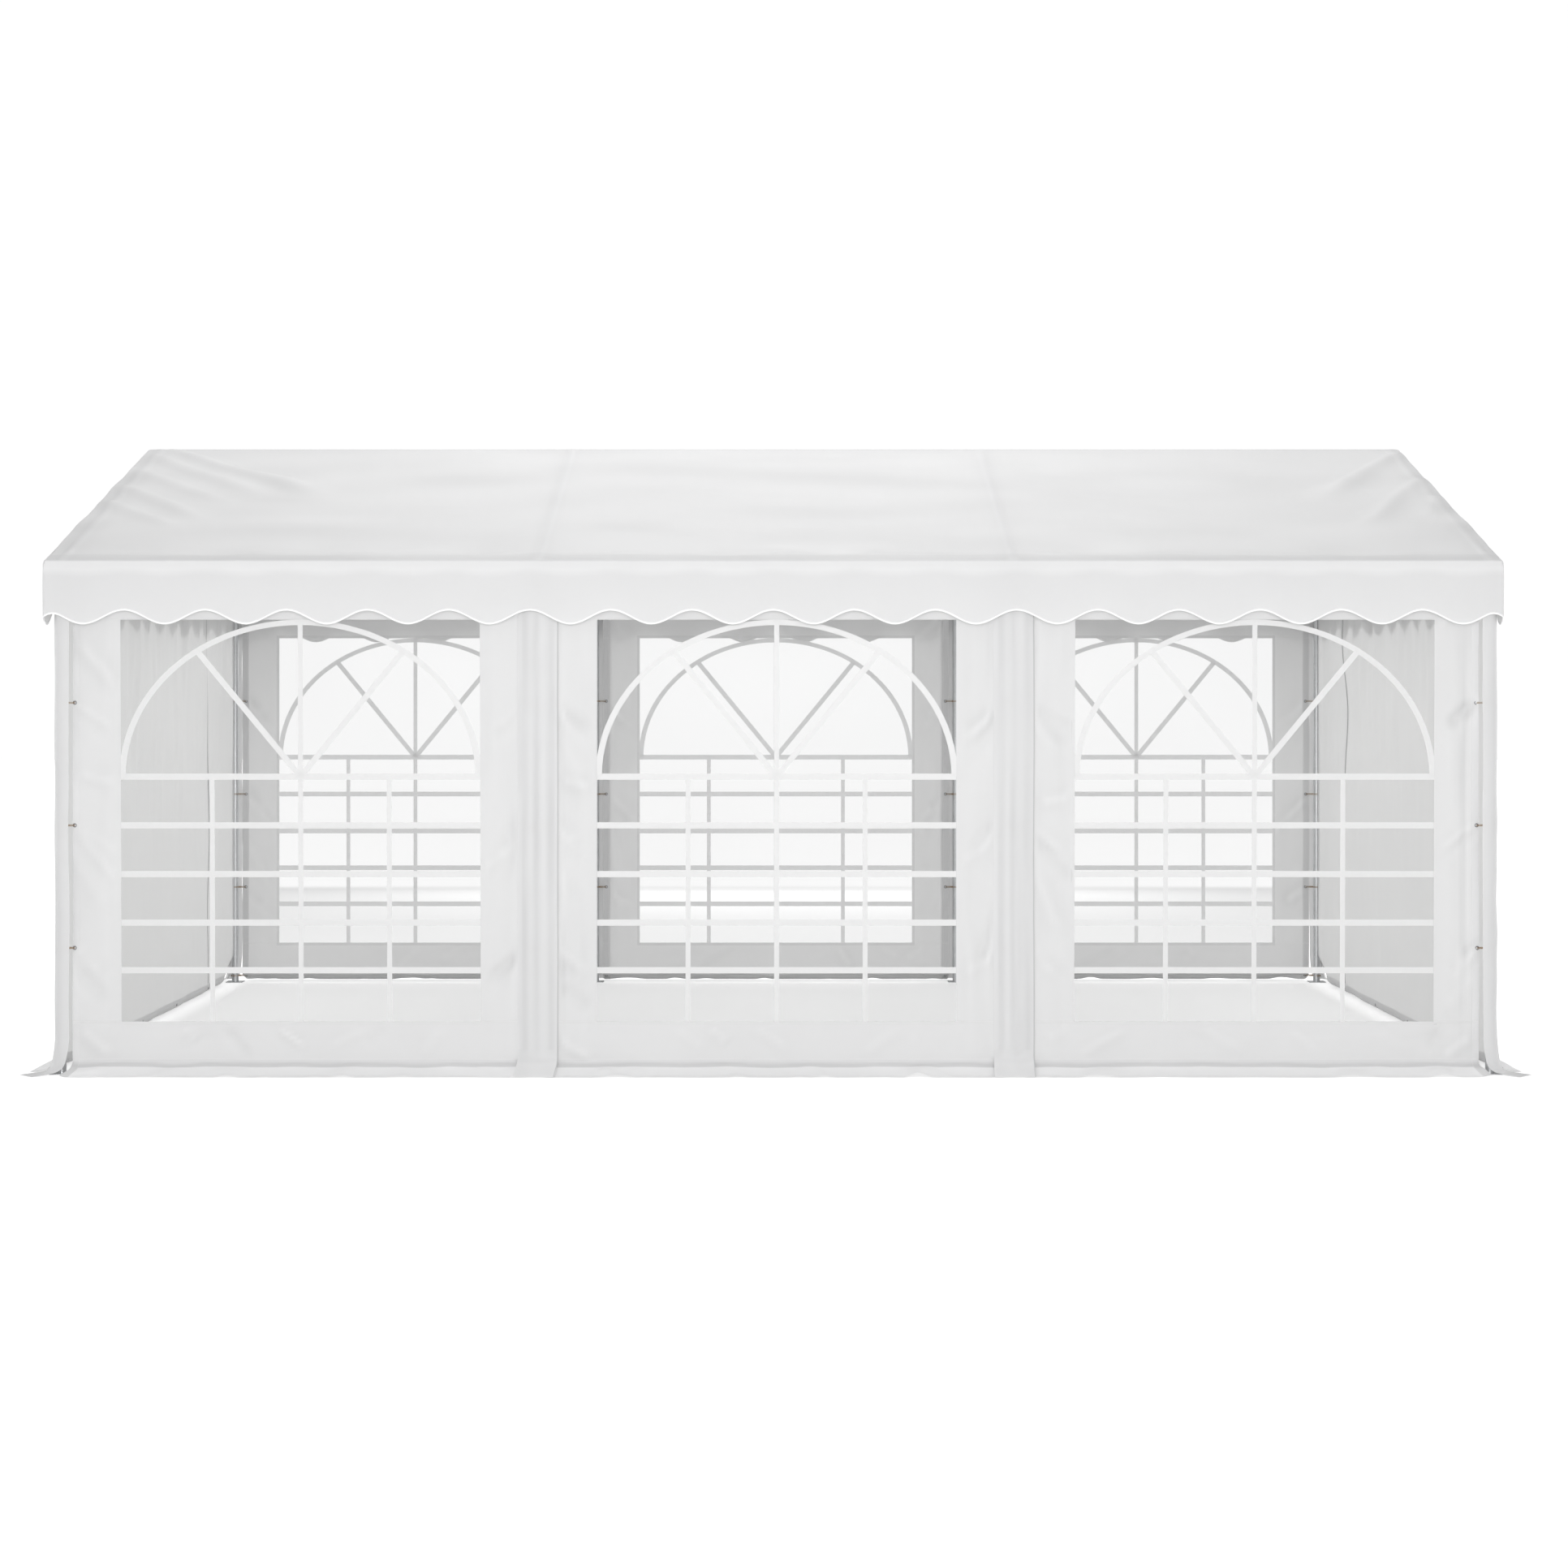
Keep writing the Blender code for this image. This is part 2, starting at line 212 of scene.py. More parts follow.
# Plain weave under a smooth coating: Height goes over and under, Shade darkens the gaps
def makeWeaveGroup():
    group, given, result = newGroup(
        "coatedWeave",
        [("Cloth", "NodeSocketVector", None), ("Pitch", "NodeSocketFloat", 0.0012)],
        [("Height", "NodeSocketFloat"), ("Shade", "NodeSocketFloat")],
    )
    parts = addNode(group, "SeparateXYZ", {0: given.outputs["Cloth"]})
    turn = mathNode(group, "DIVIDE", math.pi, given.outputs["Pitch"])
    warp = mathNode(group, "SINE", mathNode(group, "MULTIPLY", parts.outputs[0], turn))
    weft = mathNode(group, "SINE", mathNode(group, "MULTIPLY", parts.outputs[1], turn))
    cross = mathNode(group, "MULTIPLY", warp, weft)
    height = mathNode(group, "MULTIPLY_ADD", cross, 0.5, 0.5)
    group.links.new(height, result.inputs["Height"])
    group.links.new(mathNode(group, "MULTIPLY_ADD", height, 0.5, 0.5), result.inputs["Shade"])
    return group


# Small creases left from folding and packing, and a slight unevenness of the coating
def makeHandlingGroup():
    group, given, result = newGroup(
        "packedCloth",
        [("Place", "NodeSocketVector", None), ("Scale", "NodeSocketFloat", 3.0)],
        [("Height", "NodeSocketFloat"), ("Tone", "NodeSocketFloat")],
    )
    place, scale = given.outputs["Place"], given.outputs["Scale"]
    broad = addNode(group, "TexNoise", {"Vector": place, "Scale": scale, "Detail": 3.0, "Distortion": 0.6})
    fineScale = mathNode(group, "MULTIPLY", scale, 5.0)
    cracks = addNode(group, "TexNoise", {"Vector": place, "Scale": fineScale, "Detail": 2.0})
    ridged = mathNode(group, "ABSOLUTE", mathNode(group, "SUBTRACT", cracks.outputs["Fac"], 0.5))
    fine = mathNode(group, "MULTIPLY", ridged, 0.25)
    group.links.new(mathNode(group, "ADD", broad.outputs["Fac"], fine), result.inputs["Height"])
    group.links.new(broad.outputs["Fac"], result.inputs["Tone"])
    return group


# A row of stitches: Distance is how far the cloth is from the row, Along runs down it
def makeStitchGroup():
    group, given, result = newGroup(
        "stitchRow",
        [
            ("Distance", "NodeSocketFloat", 0.0),
            ("Along", "NodeSocketFloat", 0.0),
            ("Pitch", "NodeSocketFloat", 0.004),
            ("Width", "NodeSocketFloat", 0.0007),
        ],
        [("Mask", "NodeSocketFloat"), ("Height", "NodeSocketFloat")],
    )
    away = mathNode(group, "ABSOLUTE", given.outputs["Distance"])
    near = mathNode(group, "LESS_THAN", away, given.outputs["Width"])
    step = mathNode(group, "FRACT", mathNode(group, "DIVIDE", given.outputs["Along"], given.outputs["Pitch"]))
    fromMiddle = mathNode(group, "ABSOLUTE", mathNode(group, "SUBTRACT", step, 0.5))
    thread = mathNode(group, "LESS_THAN", fromMiddle, 0.34)
    mask = mathNode(group, "MULTIPLY", near, thread)
    pull = mathNode(group, "SUBTRACT", 1.0, mathNode(group, "DIVIDE", away, 0.004))
    pucker = mathNode(group, "MULTIPLY", mathNode(group, "MAXIMUM", pull, 0.0), -0.6)
    group.links.new(mask, result.inputs["Mask"])
    group.links.new(mathNode(group, "ADD", pucker, mask), result.inputs["Height"])
    return group


weaveGroup = makeWeaveGroup()
handlingGroup = makeHandlingGroup()
stitchGroup = makeStitchGroup()


def newMaterial(name):
    made = bpy.data.materials.new(name)
    made.use_nodes = True
    made.node_tree.nodes.clear()
    return made, made.node_tree


def placeIn(tree):
    return addNode(tree, "TexCoord").outputs["Object"]


def clothIn(tree):
    return addNode(tree, "UVMap", uv_map="cloth").outputs[0]


def addBump(tree, strength, distance, height):
    return addNode(tree, "Bump", {"Strength": strength, "Distance": distance, "Height": height}).outputs[0]


# The last node of a material, with a share of a second shader if one is given
def finishMaterial(tree, shader, share=None, second=None):
    if second:
        shader = addNode(tree, "MixShader", {0: share, 1: shader.outputs[0], 2: second.outputs[0]})
    addNode(tree, "OutputMaterial", {0: shader.outputs[0]})


clothLook = dict(
    bright=(0.83, 0.83, 0.832, 1),
    dull=(0.79, 0.79, 0.795, 1),
    thread=(0.90, 0.90, 0.90, 1),
    through=(0.84, 0.84, 0.83, 1),
    roughness=0.52,
    weavePitch=0.0013,
    weaveDepth=0.00006,
    creaseScale=2.6,
    creaseDepth=0.0016,
    stitchDepth=0.0004,
    specular=0.25,
)


# Coated white sheeting. seams are (axis, distance) of stitch rows in the cloth's own coordinates.
def makeCloth(name, translucent, seams=(), brightness=1.0):
    look = clothLook
    made, tree = newMaterial(name)
    cloth = clothIn(tree)
    weave = addNode(tree, "Group", {"Cloth": cloth, "Pitch": look["weavePitch"]}, node_tree=weaveGroup)
    packed = {"Place": placeIn(tree), "Scale": look["creaseScale"]}
    handling = addNode(tree, "Group", packed, node_tree=handlingGroup)
    dull = tuple(c * brightness for c in look["dull"][:3]) + (1,)
    bright = tuple(c * brightness for c in look["bright"][:3]) + (1,)
    mixed = mathNode(tree, "MULTIPLY", handling.outputs["Tone"], weave.outputs["Shade"])
    # The mesh's tone attribute scales the colour: painted light and shade, with a plain lift and some tone
    # that differs at random
    tone = addNode(tree, "Attribute", attribute_name="tone").outputs["Fac"]
    shade = mathNode(tree, "ADD", tone, 1.0)
    plain = mixColours(tree, mixed, dull, bright)
    colour = addNode(tree, "VectorMath", {0: plain, 3: shade}, operation="SCALE").outputs[0]
    parts = addNode(tree, "SeparateXYZ", {0: cloth})
    height = mathNode(tree, "MULTIPLY", handling.outputs["Height"], look["creaseDepth"])
    height = mathNode(tree, "MULTIPLY_ADD", weave.outputs["Height"], look["weaveDepth"], height)
    for axis, distance in seams:
        across = mathNode(tree, "ABSOLUTE", parts.outputs[axis])
        away = mathNode(tree, "SUBTRACT", across, distance)
        stitches = {"Distance": away, "Along": parts.outputs[1 - axis]}
        row = addNode(tree, "Group", stitches, node_tree=stitchGroup)
        colour = mixColours(tree, row.outputs["Mask"], colour, look["thread"])
        height = mathNode(tree, "MULTIPLY_ADD", row.outputs["Height"], look["stitchDepth"], height)
    bump = addBump(tree, 1.0, 1.0, height)
    coating = {"Base Color": colour, "Roughness": look["roughness"], "Normal": bump}
    gloss = addNode(tree, "BsdfPrincipled", {**coating, "Specular IOR Level": look["specular"]})
    through = addNode(tree, "BsdfTranslucent", {"Color": look["through"], "Normal": bump})
    finishMaterial(tree, gloss, translucent, through)
    return made


# Spangled zinc or plain nickel: the roughness goes up a little where the metal is dull
def makeSteel(name, tint, roughness):
    made, tree = newMaterial(name)
    place = placeIn(tree)
    spangle = addNode(tree, "TexVoronoi", {"Vector": place, "Scale": 90.0})
    cloud = addNode(tree, "TexNoise", {"Vector": place, "Scale": 14.0, "Detail": 4.0})
    mixed = mathNode(tree, "MULTIPLY_ADD", spangle.outputs["Distance"], 0.35, cloud.outputs["Fac"])
    span = {"Value": mixed, "From Min": 0.3, "From Max": 0.9}
    dark = tuple(c * 0.8 for c in tint) + (1,)
    colour = mixColours(tree, addNode(tree, "MapRange", span).outputs[0], dark, (*tint, 1))
    rough = addNode(tree, "MapRange", {**span, "To Min": roughness, "To Max": roughness + 0.15}).outputs[0]
    bump = addBump(tree, 0.25, 0.0004, mixed)
    metal = {"Base Color": colour, "Roughness": rough, "Metallic": 1.0, "Normal": bump}
    finishMaterial(tree, addNode(tree, "BsdfPrincipled", metal))
    return made


# Clear vinyl film with a faint haze and soft reflections
def makeFilm():
    look = dict(haze=(0.945, 0.965), tint=(0.9, 0.92, 0.92, 1), roughness=0.08, reflecting=0.03)
    made, tree = newMaterial("clearFilm")
    wave = addNode(tree, "TexNoise", {"Vector": placeIn(tree), "Scale": 1.7, "Detail": 2.0}).outputs["Fac"]
    low, high = look["haze"]
    haze = addNode(tree, "MapRange", {"Value": wave, "To Min": low, "To Max": high}).outputs[0]
    tint = addNode(tree, "CombineColor", {0: haze, 1: haze, 2: haze}).outputs[0]
    clear = addNode(tree, "BsdfTransparent", {0: tint})
    bump = addBump(tree, 0.6, 0.004, wave)
    surface = {"Base Color": look["tint"], "Roughness": look["roughness"], "Normal": bump}
    finishMaterial(tree, clear, look["reflecting"], addNode(tree, "BsdfPrincipled", surface))
    return made


# Printed bars and piping: a fine grain between two whites
def makeWhite(name, scale, detail, dull, bright, roughness, bumpStrength=None, translucent=None):
    made, tree = newMaterial(name)
    noise = {"Vector": placeIn(tree), "Scale": scale, "Detail": detail}
    grain = addNode(tree, "TexNoise", noise).outputs["Fac"]
    colour = mixColours(tree, grain, (dull, dull, dull, 1), (bright, bright, bright, 1))
    bump = addBump(tree, bumpStrength, 0.0004, grain) if bumpStrength else None
    gloss = addNode(tree, "BsdfPrincipled", {"Base Color": colour, "Roughness": roughness, "Normal": bump})
    through = addNode(tree, "BsdfTranslucent", {0: (0.85, 0.85, 0.85, 1)}) if translucent else None
    finishMaterial(tree, gloss, translucent, through)
    return made


# Ribs along the cloth's first coordinate: the zip's teeth, or a cord's braid, which also winds round it
def makeRibbed(name, wound, pitch, colours, bumpStrength, bumpDepth, roughness):
    made, tree = newMaterial(name)
    parts = addNode(tree, "SeparateXYZ", {0: clothIn(tree)}).outputs
    along = mathNode(tree, "ADD", parts[0], parts[1]) if wound else parts[0]
    ribs = mathNode(tree, "SINE", mathNode(tree, "MULTIPLY", along, math.tau / pitch))
    share = mathNode(tree, "MULTIPLY_ADD", ribs, 0.5, 0.5)
    bump = addBump(tree, bumpStrength, bumpDepth, share)
    look = {"Base Color": mixColours(tree, share, *colours), "Roughness": roughness, "Normal": bump}
    finishMaterial(tree, addNode(tree, "BsdfPrincipled", look))
    return made


windowSeams = [(0, 0.929), (0, 0.957), (1, 0.212), (1, 0.219), (1, 1.909)]
roofCloth = makeCloth("roofCloth", 0.22)
valanceCloth = makeCloth("valanceCloth", 0.22)
wallCloth = makeCloth("wallCloth", 0.24, seams=windowSeams)
hemCloth = makeCloth("hemCloth", 0.05, seams=windowSeams, brightness=0.94)
# The skirt's cloth is painted brighter and lets little light through: painted light where it turns out to
# face up
skirtLitCloth = makeCloth("skirtLitCloth", 0.05, brightness=1.19)
endCloth = makeCloth("endCloth", 0.44, seams=[(0, 1.184), (0, 1.216)])
flapCloth = makeCloth("flapCloth", 0.26, seams=[(0, 0.079)])
stripCloth = makeCloth("stripCloth", 0.18)
steelFinish = makeSteel("galvanisedTube", (0.66, 0.67, 0.68), 0.34)
eyeletFinish = makeSteel("nickelRing", (0.30, 0.30, 0.31), 0.28)
filmFinish = makeFilm()
printFinish = makeWhite("printedWhite", 60.0, 3.0, 0.86, 0.90, 0.4, translucent=0.3)
pipingFinish = makeWhite("pipingTape", 300.0, 2.0, 0.93, 0.97, 0.35, bumpStrength=0.3)
cordBrowns = (0.24, 0.15, 0.08, 1), (0.40, 0.27, 0.15, 1)
coilGreys = (0.30, 0.30, 0.30, 1), (0.58, 0.58, 0.58, 1)
cordFinish = makeRibbed("elasticCord", True, 0.0016, cordBrowns, 0.5, 0.0003, 0.8)
coilFinish = makeRibbed("zipCoil", False, 0.002, coilGreys, 0.8, 0.0006, 0.45)


print("stretching the roof cover")
roof = dict(
    shift=-0.011,  # the cover sits a little to the left on its frame
    halfLength=3.0585,
    halfDepth=-(valanceLow.y + valanceHigh.y) / 2,
    foldZ=2.155,
    foldRadius=0.010,
    ridgeRadius=0.0233,
    edgeRadius=(0.026, 0.012, 0.006),  # rounding at the ends: at the ridge, the eave and the valance
    flange=0.018,  # lap over the gable
    columnStep=0.022,
    crown=0.005,  # half the width that lies flat on a tube
    sleeves=(0.15, 0.19),  # where the rafters' sleeves end, from the ridge and from the fold
    sleeveLift=0.0028,
    onTube=0.0032,  # the cover's drop on a bare tube
    sag=0.012,
    waves=0.005,
    creases=0.0007,
    softness=0.0015,  # how gently the cloth leaves a tube
    eaveBand=0.098,  # width of the band above the fold that is painted darker as shade
    bandEdge=0.004,
    bandLumps=0.020,
    troughDepth=0.009,
    valleyDepth=0.0025,
    flutter=0.0035,
    endWander=0.004,
    valanceLean=0.011,
    leanHeight=0.046,
    hemMiddle=1.916,
    hemDepth=0.029,
    hemWaves=18,
    endWaves=14,
    endShift=0.078,  # how far the first scallop of an end moves to its corner
    cornerHeight=0.031,  # how far the hem drops at a corner
    cornerReach=0.075,
)
roof["ridgeZ"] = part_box("roof_cover")[1].z - 0.001 - roof["ridgeRadius"]
foldBelow = roof["ridgeZ"] - roof["foldZ"]
toFold = math.hypot(roof["halfDepth"], foldBelow)
roofSlope = math.asin(roof["ridgeRadius"] / toFold) + math.atan2(foldBelow, roof["halfDepth"])

# How much the cover's cloth is painted lighter or darker: painted light and shade on its folds, painted shade
# towards the ends and on the eave band, painted light over the tubes and on the valance below the fold, a
# plain lift and random clouds of tone
roofShadingAndTone = dict(
    plain=0.030,
    facing=0.085,  # flanks that face the lights, or turn away from them
    # flank and crest: painted shade on the folds' flanks and hollows, painted light on their crests
    flank=0.45,
    crest=0.0022,
    clouds=0.016,
    # ends, tubes and eave: painted shade towards the ends, painted light over the tubes, painted shade on the
    # band above the fold
    ends=0.055,
    endBand=(2.90, 3.03),
    tubes=0.055,
    eave=0.062,
    valance=0.020,
    # painted light on the valance just below the fold
    belowFold=0.12,
)

# Folds of the slope: crest points (x, distance from the ridge), half width at both ends, height over width
roofFolds = [
    (
        [
            *((-3.03, -0.03), (-2.94, 0.06), (-2.75, 0.275), (-2.55, 0.51)),
            *((-2.40, 0.61), (-2.25, 0.725), (-2.12, 0.85), (-1.99, 0.98)),
        ],
        (0.050, 0.085),
        0.40,
    ),
    (
        [(-3.04, 0.10), (-2.975, 0.20), (-2.85, 0.375), (-2.72, 0.54), (-2.475, 0.775), (-2.28, 0.98)],
        (0.055, 0.070),
        0.30,
    ),
    ([(-3.06, 0.44), (-2.975, 0.54), (-2.75, 0.80), (-2.51, 1.05), (-2.42, 1.14)], (0.055, 0.065), 0.28),
    ([(-3.06, 0.76), (-2.99, 0.84), (-2.775, 1.11), (-2.59, 1.35), (-2.48, 1.48)], (0.055, 0.065), 0.32),
    ([(-3.06, 1.06), (-2.925, 1.24), (-2.71, 1.475), (-2.58, 1.61)], (0.055, 0.060), 0.30),
    (
        [(3.06, 0.04), (2.95, 0.225), (2.81, 0.45), (2.675, 0.70), (2.525, 0.94), (2.42, 1.08)],
        (0.050, 0.085),
        0.36,
    ),
    (
        [(3.05, 0.58), (2.95, 0.775), (2.825, 1.01), (2.71, 1.275), (2.575, 1.525), (2.52, 1.62)],
        (0.050, 0.065),
        0.32,
    ),
    ([(3.03, 0.95), (2.95, 1.20), (2.90, 1.42)], (0.045, 0.055), 0.20),
]

# Painted patches of soft light and shade: line points, reach across it, how much lighter or darker
roofShadePatches = [
    ([(-2.25, 0.30), (-1.90, 0.30)], 0.16, -0.035),
    ([(-1.80, 0.62), (-1.35, 0.70)], 0.15, -0.045),
    ([(-0.95, 0.40), (-0.20, 0.52), (0.30, 0.62), (0.90, 0.76), (1.35, 0.92)], 0.12, -0.065),
    ([(2.00, 0.62), (2.35, 0.74)], 0.18, -0.035),
    ([(-0.10, 1.18), (0.30, 1.30), (0.85, 1.25)], 0.11, -0.050),
    ([(-0.80, 1.62), (-0.62, 1.52), (-0.45, 1.66)], 0.11, -0.040),
    ([(-2.75, 1.62), (-2.20, 1.60), (-1.25, 1.72)], 0.13, -0.050),
    ([(-2.46, 1.00), (-2.08, 1.05)], 0.10, -0.070),
    ([(0.00, 1.74), (0.95, 1.80)], 0.09, -0.035),
    ([(0.30, 0.86), (0.60, 1.00)], 0.17, 0.050),
    ([(0.55, 0.26), (1.00, 0.34)], 0.13, 0.040),
    ([(-1.65, 1.00), (-1.20, 1.02)], 0.14, 0.035),
    ([(-2.30, 1.36), (-1.75, 1.38)], 0.10, 0.040),
    ([(-1.45, 0.16), (-1.05, 0.22)], 0.12, 0.025),
    ([(1.20, 0.40), (1.45, 0.44)], 0.14, 0.030),
    ([(-1.95, 1.94), (-1.30, 1.96)], 0.06, 0.025),
    ([(-0.05, 1.875), (0.10, 1.885)], 0.030, 0.035),
    ([(0.24, 1.92), (0.32, 1.935)], 0.028, 0.035),
    ([(0.40, 1.945), (0.44, 1.95)], 0.032, -0.050),
    ([(-0.18, 2.00), (-0.05, 2.01)], 0.026, 0.035),
    ([(0.56, 2.03), (0.64, 2.04)], 0.030, 0.040),
    ([(0.76, 2.00), (0.90, 2.00)], 0.028, 0.030),
    ([(-0.26, 1.90), (-0.20, 1.93)], 0.040, -0.025),
    ([(1.76, 1.96), (1.80, 1.97)], 0.040, -0.030),
]


# Corners cut twice, so that a line of points bends softly
def rounded(points):
    points = np.array(points, float)
    for _ in range(2):
        near = points[:-1] * 0.75 + points[1:] * 0.25
        far = points[:-1] * 0.25 + points[1:] * 0.75
        points = np.concatenate([points[:1], np.stack([near, far], axis=1).reshape(-1, 2), points[-1:]])
    return points


# How far a point is from a line of points, and how far along it, as a share
def besideLine(x, y, points):
    steps = np.linalg.norm(np.diff(points, axis=0), axis=1)
    away = np.full(np.broadcast(x, y).shape, 9.0)
    along = away.copy()
    done = 0.0
    for (x0, y0), (x1, y1), step in zip(points, points[1:], steps):
        ux, uy = (x1 - x0) / step, (y1 - y0) / step
        run = np.clip((x - x0) * ux + (y - y0) * uy, 0, step)
        off = np.hypot(x - x0 - run * ux, y - y0 - run * uy)
        along = np.where(off < away, (done + run) / steps.sum(), along)
        away = np.minimum(away, off)
        done += step
    return away, along


roofFolds = [(rounded(points), widths, height) for points, widths, height in roofFolds]
roofShadePatches = [(rounded(points), reach, amount) for points, reach, amount in roofShadePatches]


# Height of the folds that have a place of their own
def foldedAlong(x, down):
    total = np.zeros(np.broadcast(x, down).shape)
    for points, (first, last), height in roofFolds:
        away, along = besideLine(x, down, points)
        width = first + (last - first) * along
        fade = smoothStep(-0.02, 0.16, along) * (1 - smoothStep(0.70, 1.0, along))
        total = total + height * width * fade * np.exp(-((away / width) ** 2))
    return total


# The cover's section as a finely stepped line: distance from the ridge along the cloth, depth and height
def roofSection():
    radius, corner = roof["ridgeRadius"], roof["foldRadius"]
    cosSlope, sinSlope = math.cos(roofSlope), math.sin(roofSlope)
    start = (radius * sinSlope, roof["ridgeZ"] + radius * cosSlope)
    cut = corner * math.tan((math.pi / 2 - roofSlope) / 2)
    straight = (roof["halfDepth"] - start[0]) / cosSlope - cut
    line = []
    for i in range(9):
        turn = roofSlope * i / 8
        line.append((radius * turn, radius * math.sin(turn), roof["ridgeZ"] + radius * math.cos(turn)))
    far = radius * roofSlope + straight
    bendY = start[0] + straight * cosSlope - corner * sinSlope
    bendZ = start[1] - straight * sinSlope - corner * cosSlope
    for i in range(9):
        turn = roofSlope + (math.pi / 2 - roofSlope) * i / 8
        y, z = bendY + corner * math.sin(turn), bendZ + corner * math.cos(turn)
        line.append((far + corner * (turn - roofSlope), y, z))
    last = line[-1]
    line.append((last[0] + 1.0, last[1], last[2] - 1.0))
    return np.array(line).T, far, last[0], last[2]


sectionLine, foldStart, foldEnd, valanceTop = roofSection()


# The scalloped hem: with crestSign 1 it starts on a lobe at each corner, and otherwise between two
def hemHeight(x, half, waves, crestSign):
    wave = roof["hemMiddle"] + crestSign * roof["hemDepth"] * np.cos(math.pi * waves * x / half)
    fromCorner = half - np.abs(x)
    if crestSign > 0:
        drop = np.clip((roof["cornerReach"] - fromCorner) / roof["cornerReach"], 0, 1.4)
        return wave - roof["cornerHeight"] * drop**2
    moved = fromCorner - roof["endShift"] * (1 - smoothStep(0, 0.35, fromCorner))
    return roof["hemMiddle"] - roof["hemDepth"] * np.cos(math.pi * waves * moved / half)


def nearPole(x):
    return np.min([np.abs(x - pole) for pole in poleCentres], axis=0)


# The tubes under the cloth hold it up to this offset from its plane
def tubeSupport(x, down):
    away = np.maximum(nearPole(x) - roof["crown"], 0)
    upper, lower = roof["sleeves"][0], foldStart - roof["sleeves"][1]
    onUpper = 1 - smoothStep(upper - 0.02, upper + 0.02, down)
    sleeve = np.maximum(onUpper, smoothStep(lower - 0.02, lower + 0.02, down))
    top = roof["sleeveLift"] * sleeve - roof["onTube"]
    return top - away**2 / (2 * tent["railRadius"])


# The wavy upper edge of the painted shade band along the eave, with a small raised lip, as distance from the
# ridge
def eaveEdge(x):
    lumps = np.clip(ripples(x, 0 * x, 75, 4, 0.26, 0.40), -0.6, 1.4)
    return foldStart - roof["eaveBand"] - roof["bandLumps"] * lumps * smoothStep(0.1, 0.5, np.abs(x - 0.45))


def broadWaves(x, down, side):
    return roof["waves"] * ripples(x * 0.42, down, 21 + side, 12, 0.40, 0.95)


# How far the cloth of a slope stands off its plane, at x along the ridge and down from it; side is 0 at the
# front and 1 at the back, which mirrors the front
def slopeBulge(x, down, side):
    fromFold = foldStart - down
    x = np.asarray(x)
    mirror = 1 if side == 0 else -1
    spread = np.sin(math.pi * (x + tent["halfLength"]) / tent["bay"]) ** 2
    offTube = smoothStep(0.03, 0.30, nearPole(x))
    held = smoothStep(0.0, 0.16, down) * smoothStep(0.06, 0.20, fromFold) * offTube
    sag = -roof["sag"] * np.sqrt(spread + 0.02) * np.sin(math.pi * np.clip(down / foldStart, 0, 1)) ** 0.8
    wavy = (1 + 0.5 * ripples(x, 0 * x, 11 + side, 5, 0.25, 0.9)) * (0.3 + 0.7 * offTube)
    inTrough = smoothStep(0.065, 0.135, fromFold) * (1 - smoothStep(0.16, 0.5, fromFold))
    trough = -roof["troughDepth"] * wavy * inTrough
    valley = -roof["valleyDepth"] * np.exp(-(((fromFold - 0.016) / 0.010) ** 2))
    small = roof["creases"] * ripples(x * 0.7, down, 31 + side, 12, 0.12, 0.25)
    named = foldedAlong(mirror * x, down) * smoothStep(0.0, 0.06, down) * smoothStep(0.05, 0.12, fromFold)
    onEdge = np.exp(-(((down - eaveEdge(mirror * x) + 0.02) / 0.028) ** 2))
    edge = roof["bandEdge"] * onEdge * (0.3 + 0.7 * offTube)
    free = sag + trough + valley + edge + (broadWaves(x, down, side) + small) * held + named
    soft = roof["softness"]
    return soft * np.logaddexp(free / soft, tubeSupport(x, down) / soft)


# Slopes and bend of a height function
def relief(high, x, y):
    step = 0.006
    right, left, lower, upper = high(x + step, y), high(x - step, y), high(x, y + step), high(x, y - step)
    bend = (right + left + lower + upper - 4 * high(x, y)) / step**2
    return (right - left) / (2 * step), (lower - upper) / (2 * step), bend


# Painted light and shade on the slope: crests light and their flanks dark, light where flanks face the centre
# and the ridge, the soft patches, darker ends, lighter over the tubes and darker on the eave band; and random
# clouds of tone
def slopeTone(x, down, side):
    mirror = 1 if side == 0 else -1

    def folds(a, b):
        return foldedAlong(mirror * a, b) + broadWaves(a, b, side)

    slopeX, slopeDown, bend = relief(folds, x, down)
    tone = roofShadingAndTone["plain"] + roofShadingAndTone["facing"] * (np.tanh(x / 1.2) * slopeX + slopeDown)
    tone = tone - roofShadingAndTone["flank"] * (slopeX**2 + slopeDown**2) - roofShadingAndTone["crest"] * bend
    for points, reach, amount in roofShadePatches:
        away, along = besideLine(mirror * x, down, points)
        tone = tone + amount * (0.4 + 0.6 * np.sin(math.pi * along)) * np.exp(-((away / reach) ** 2))
    tone = tone + roofShadingAndTone["clouds"] * ripples(x * 0.45, down, 81 + side, 12, 0.25, 0.6)
    uneven = 1 + 0.6 * ripples(down, 0 * down, 85, 5, 0.2, 0.6)
    tone = tone - roofShadingAndTone["ends"] * smoothStep(*roofShadingAndTone["endBand"], np.abs(x)) * uneven
    tone = tone + roofShadingAndTone["tubes"] * (1 - smoothStep(0.008, 0.030, nearPole(x)))
    return tone - roofShadingAndTone["eave"] * smoothStep(-0.008, 0.014, down - eaveEdge(mirror * x))


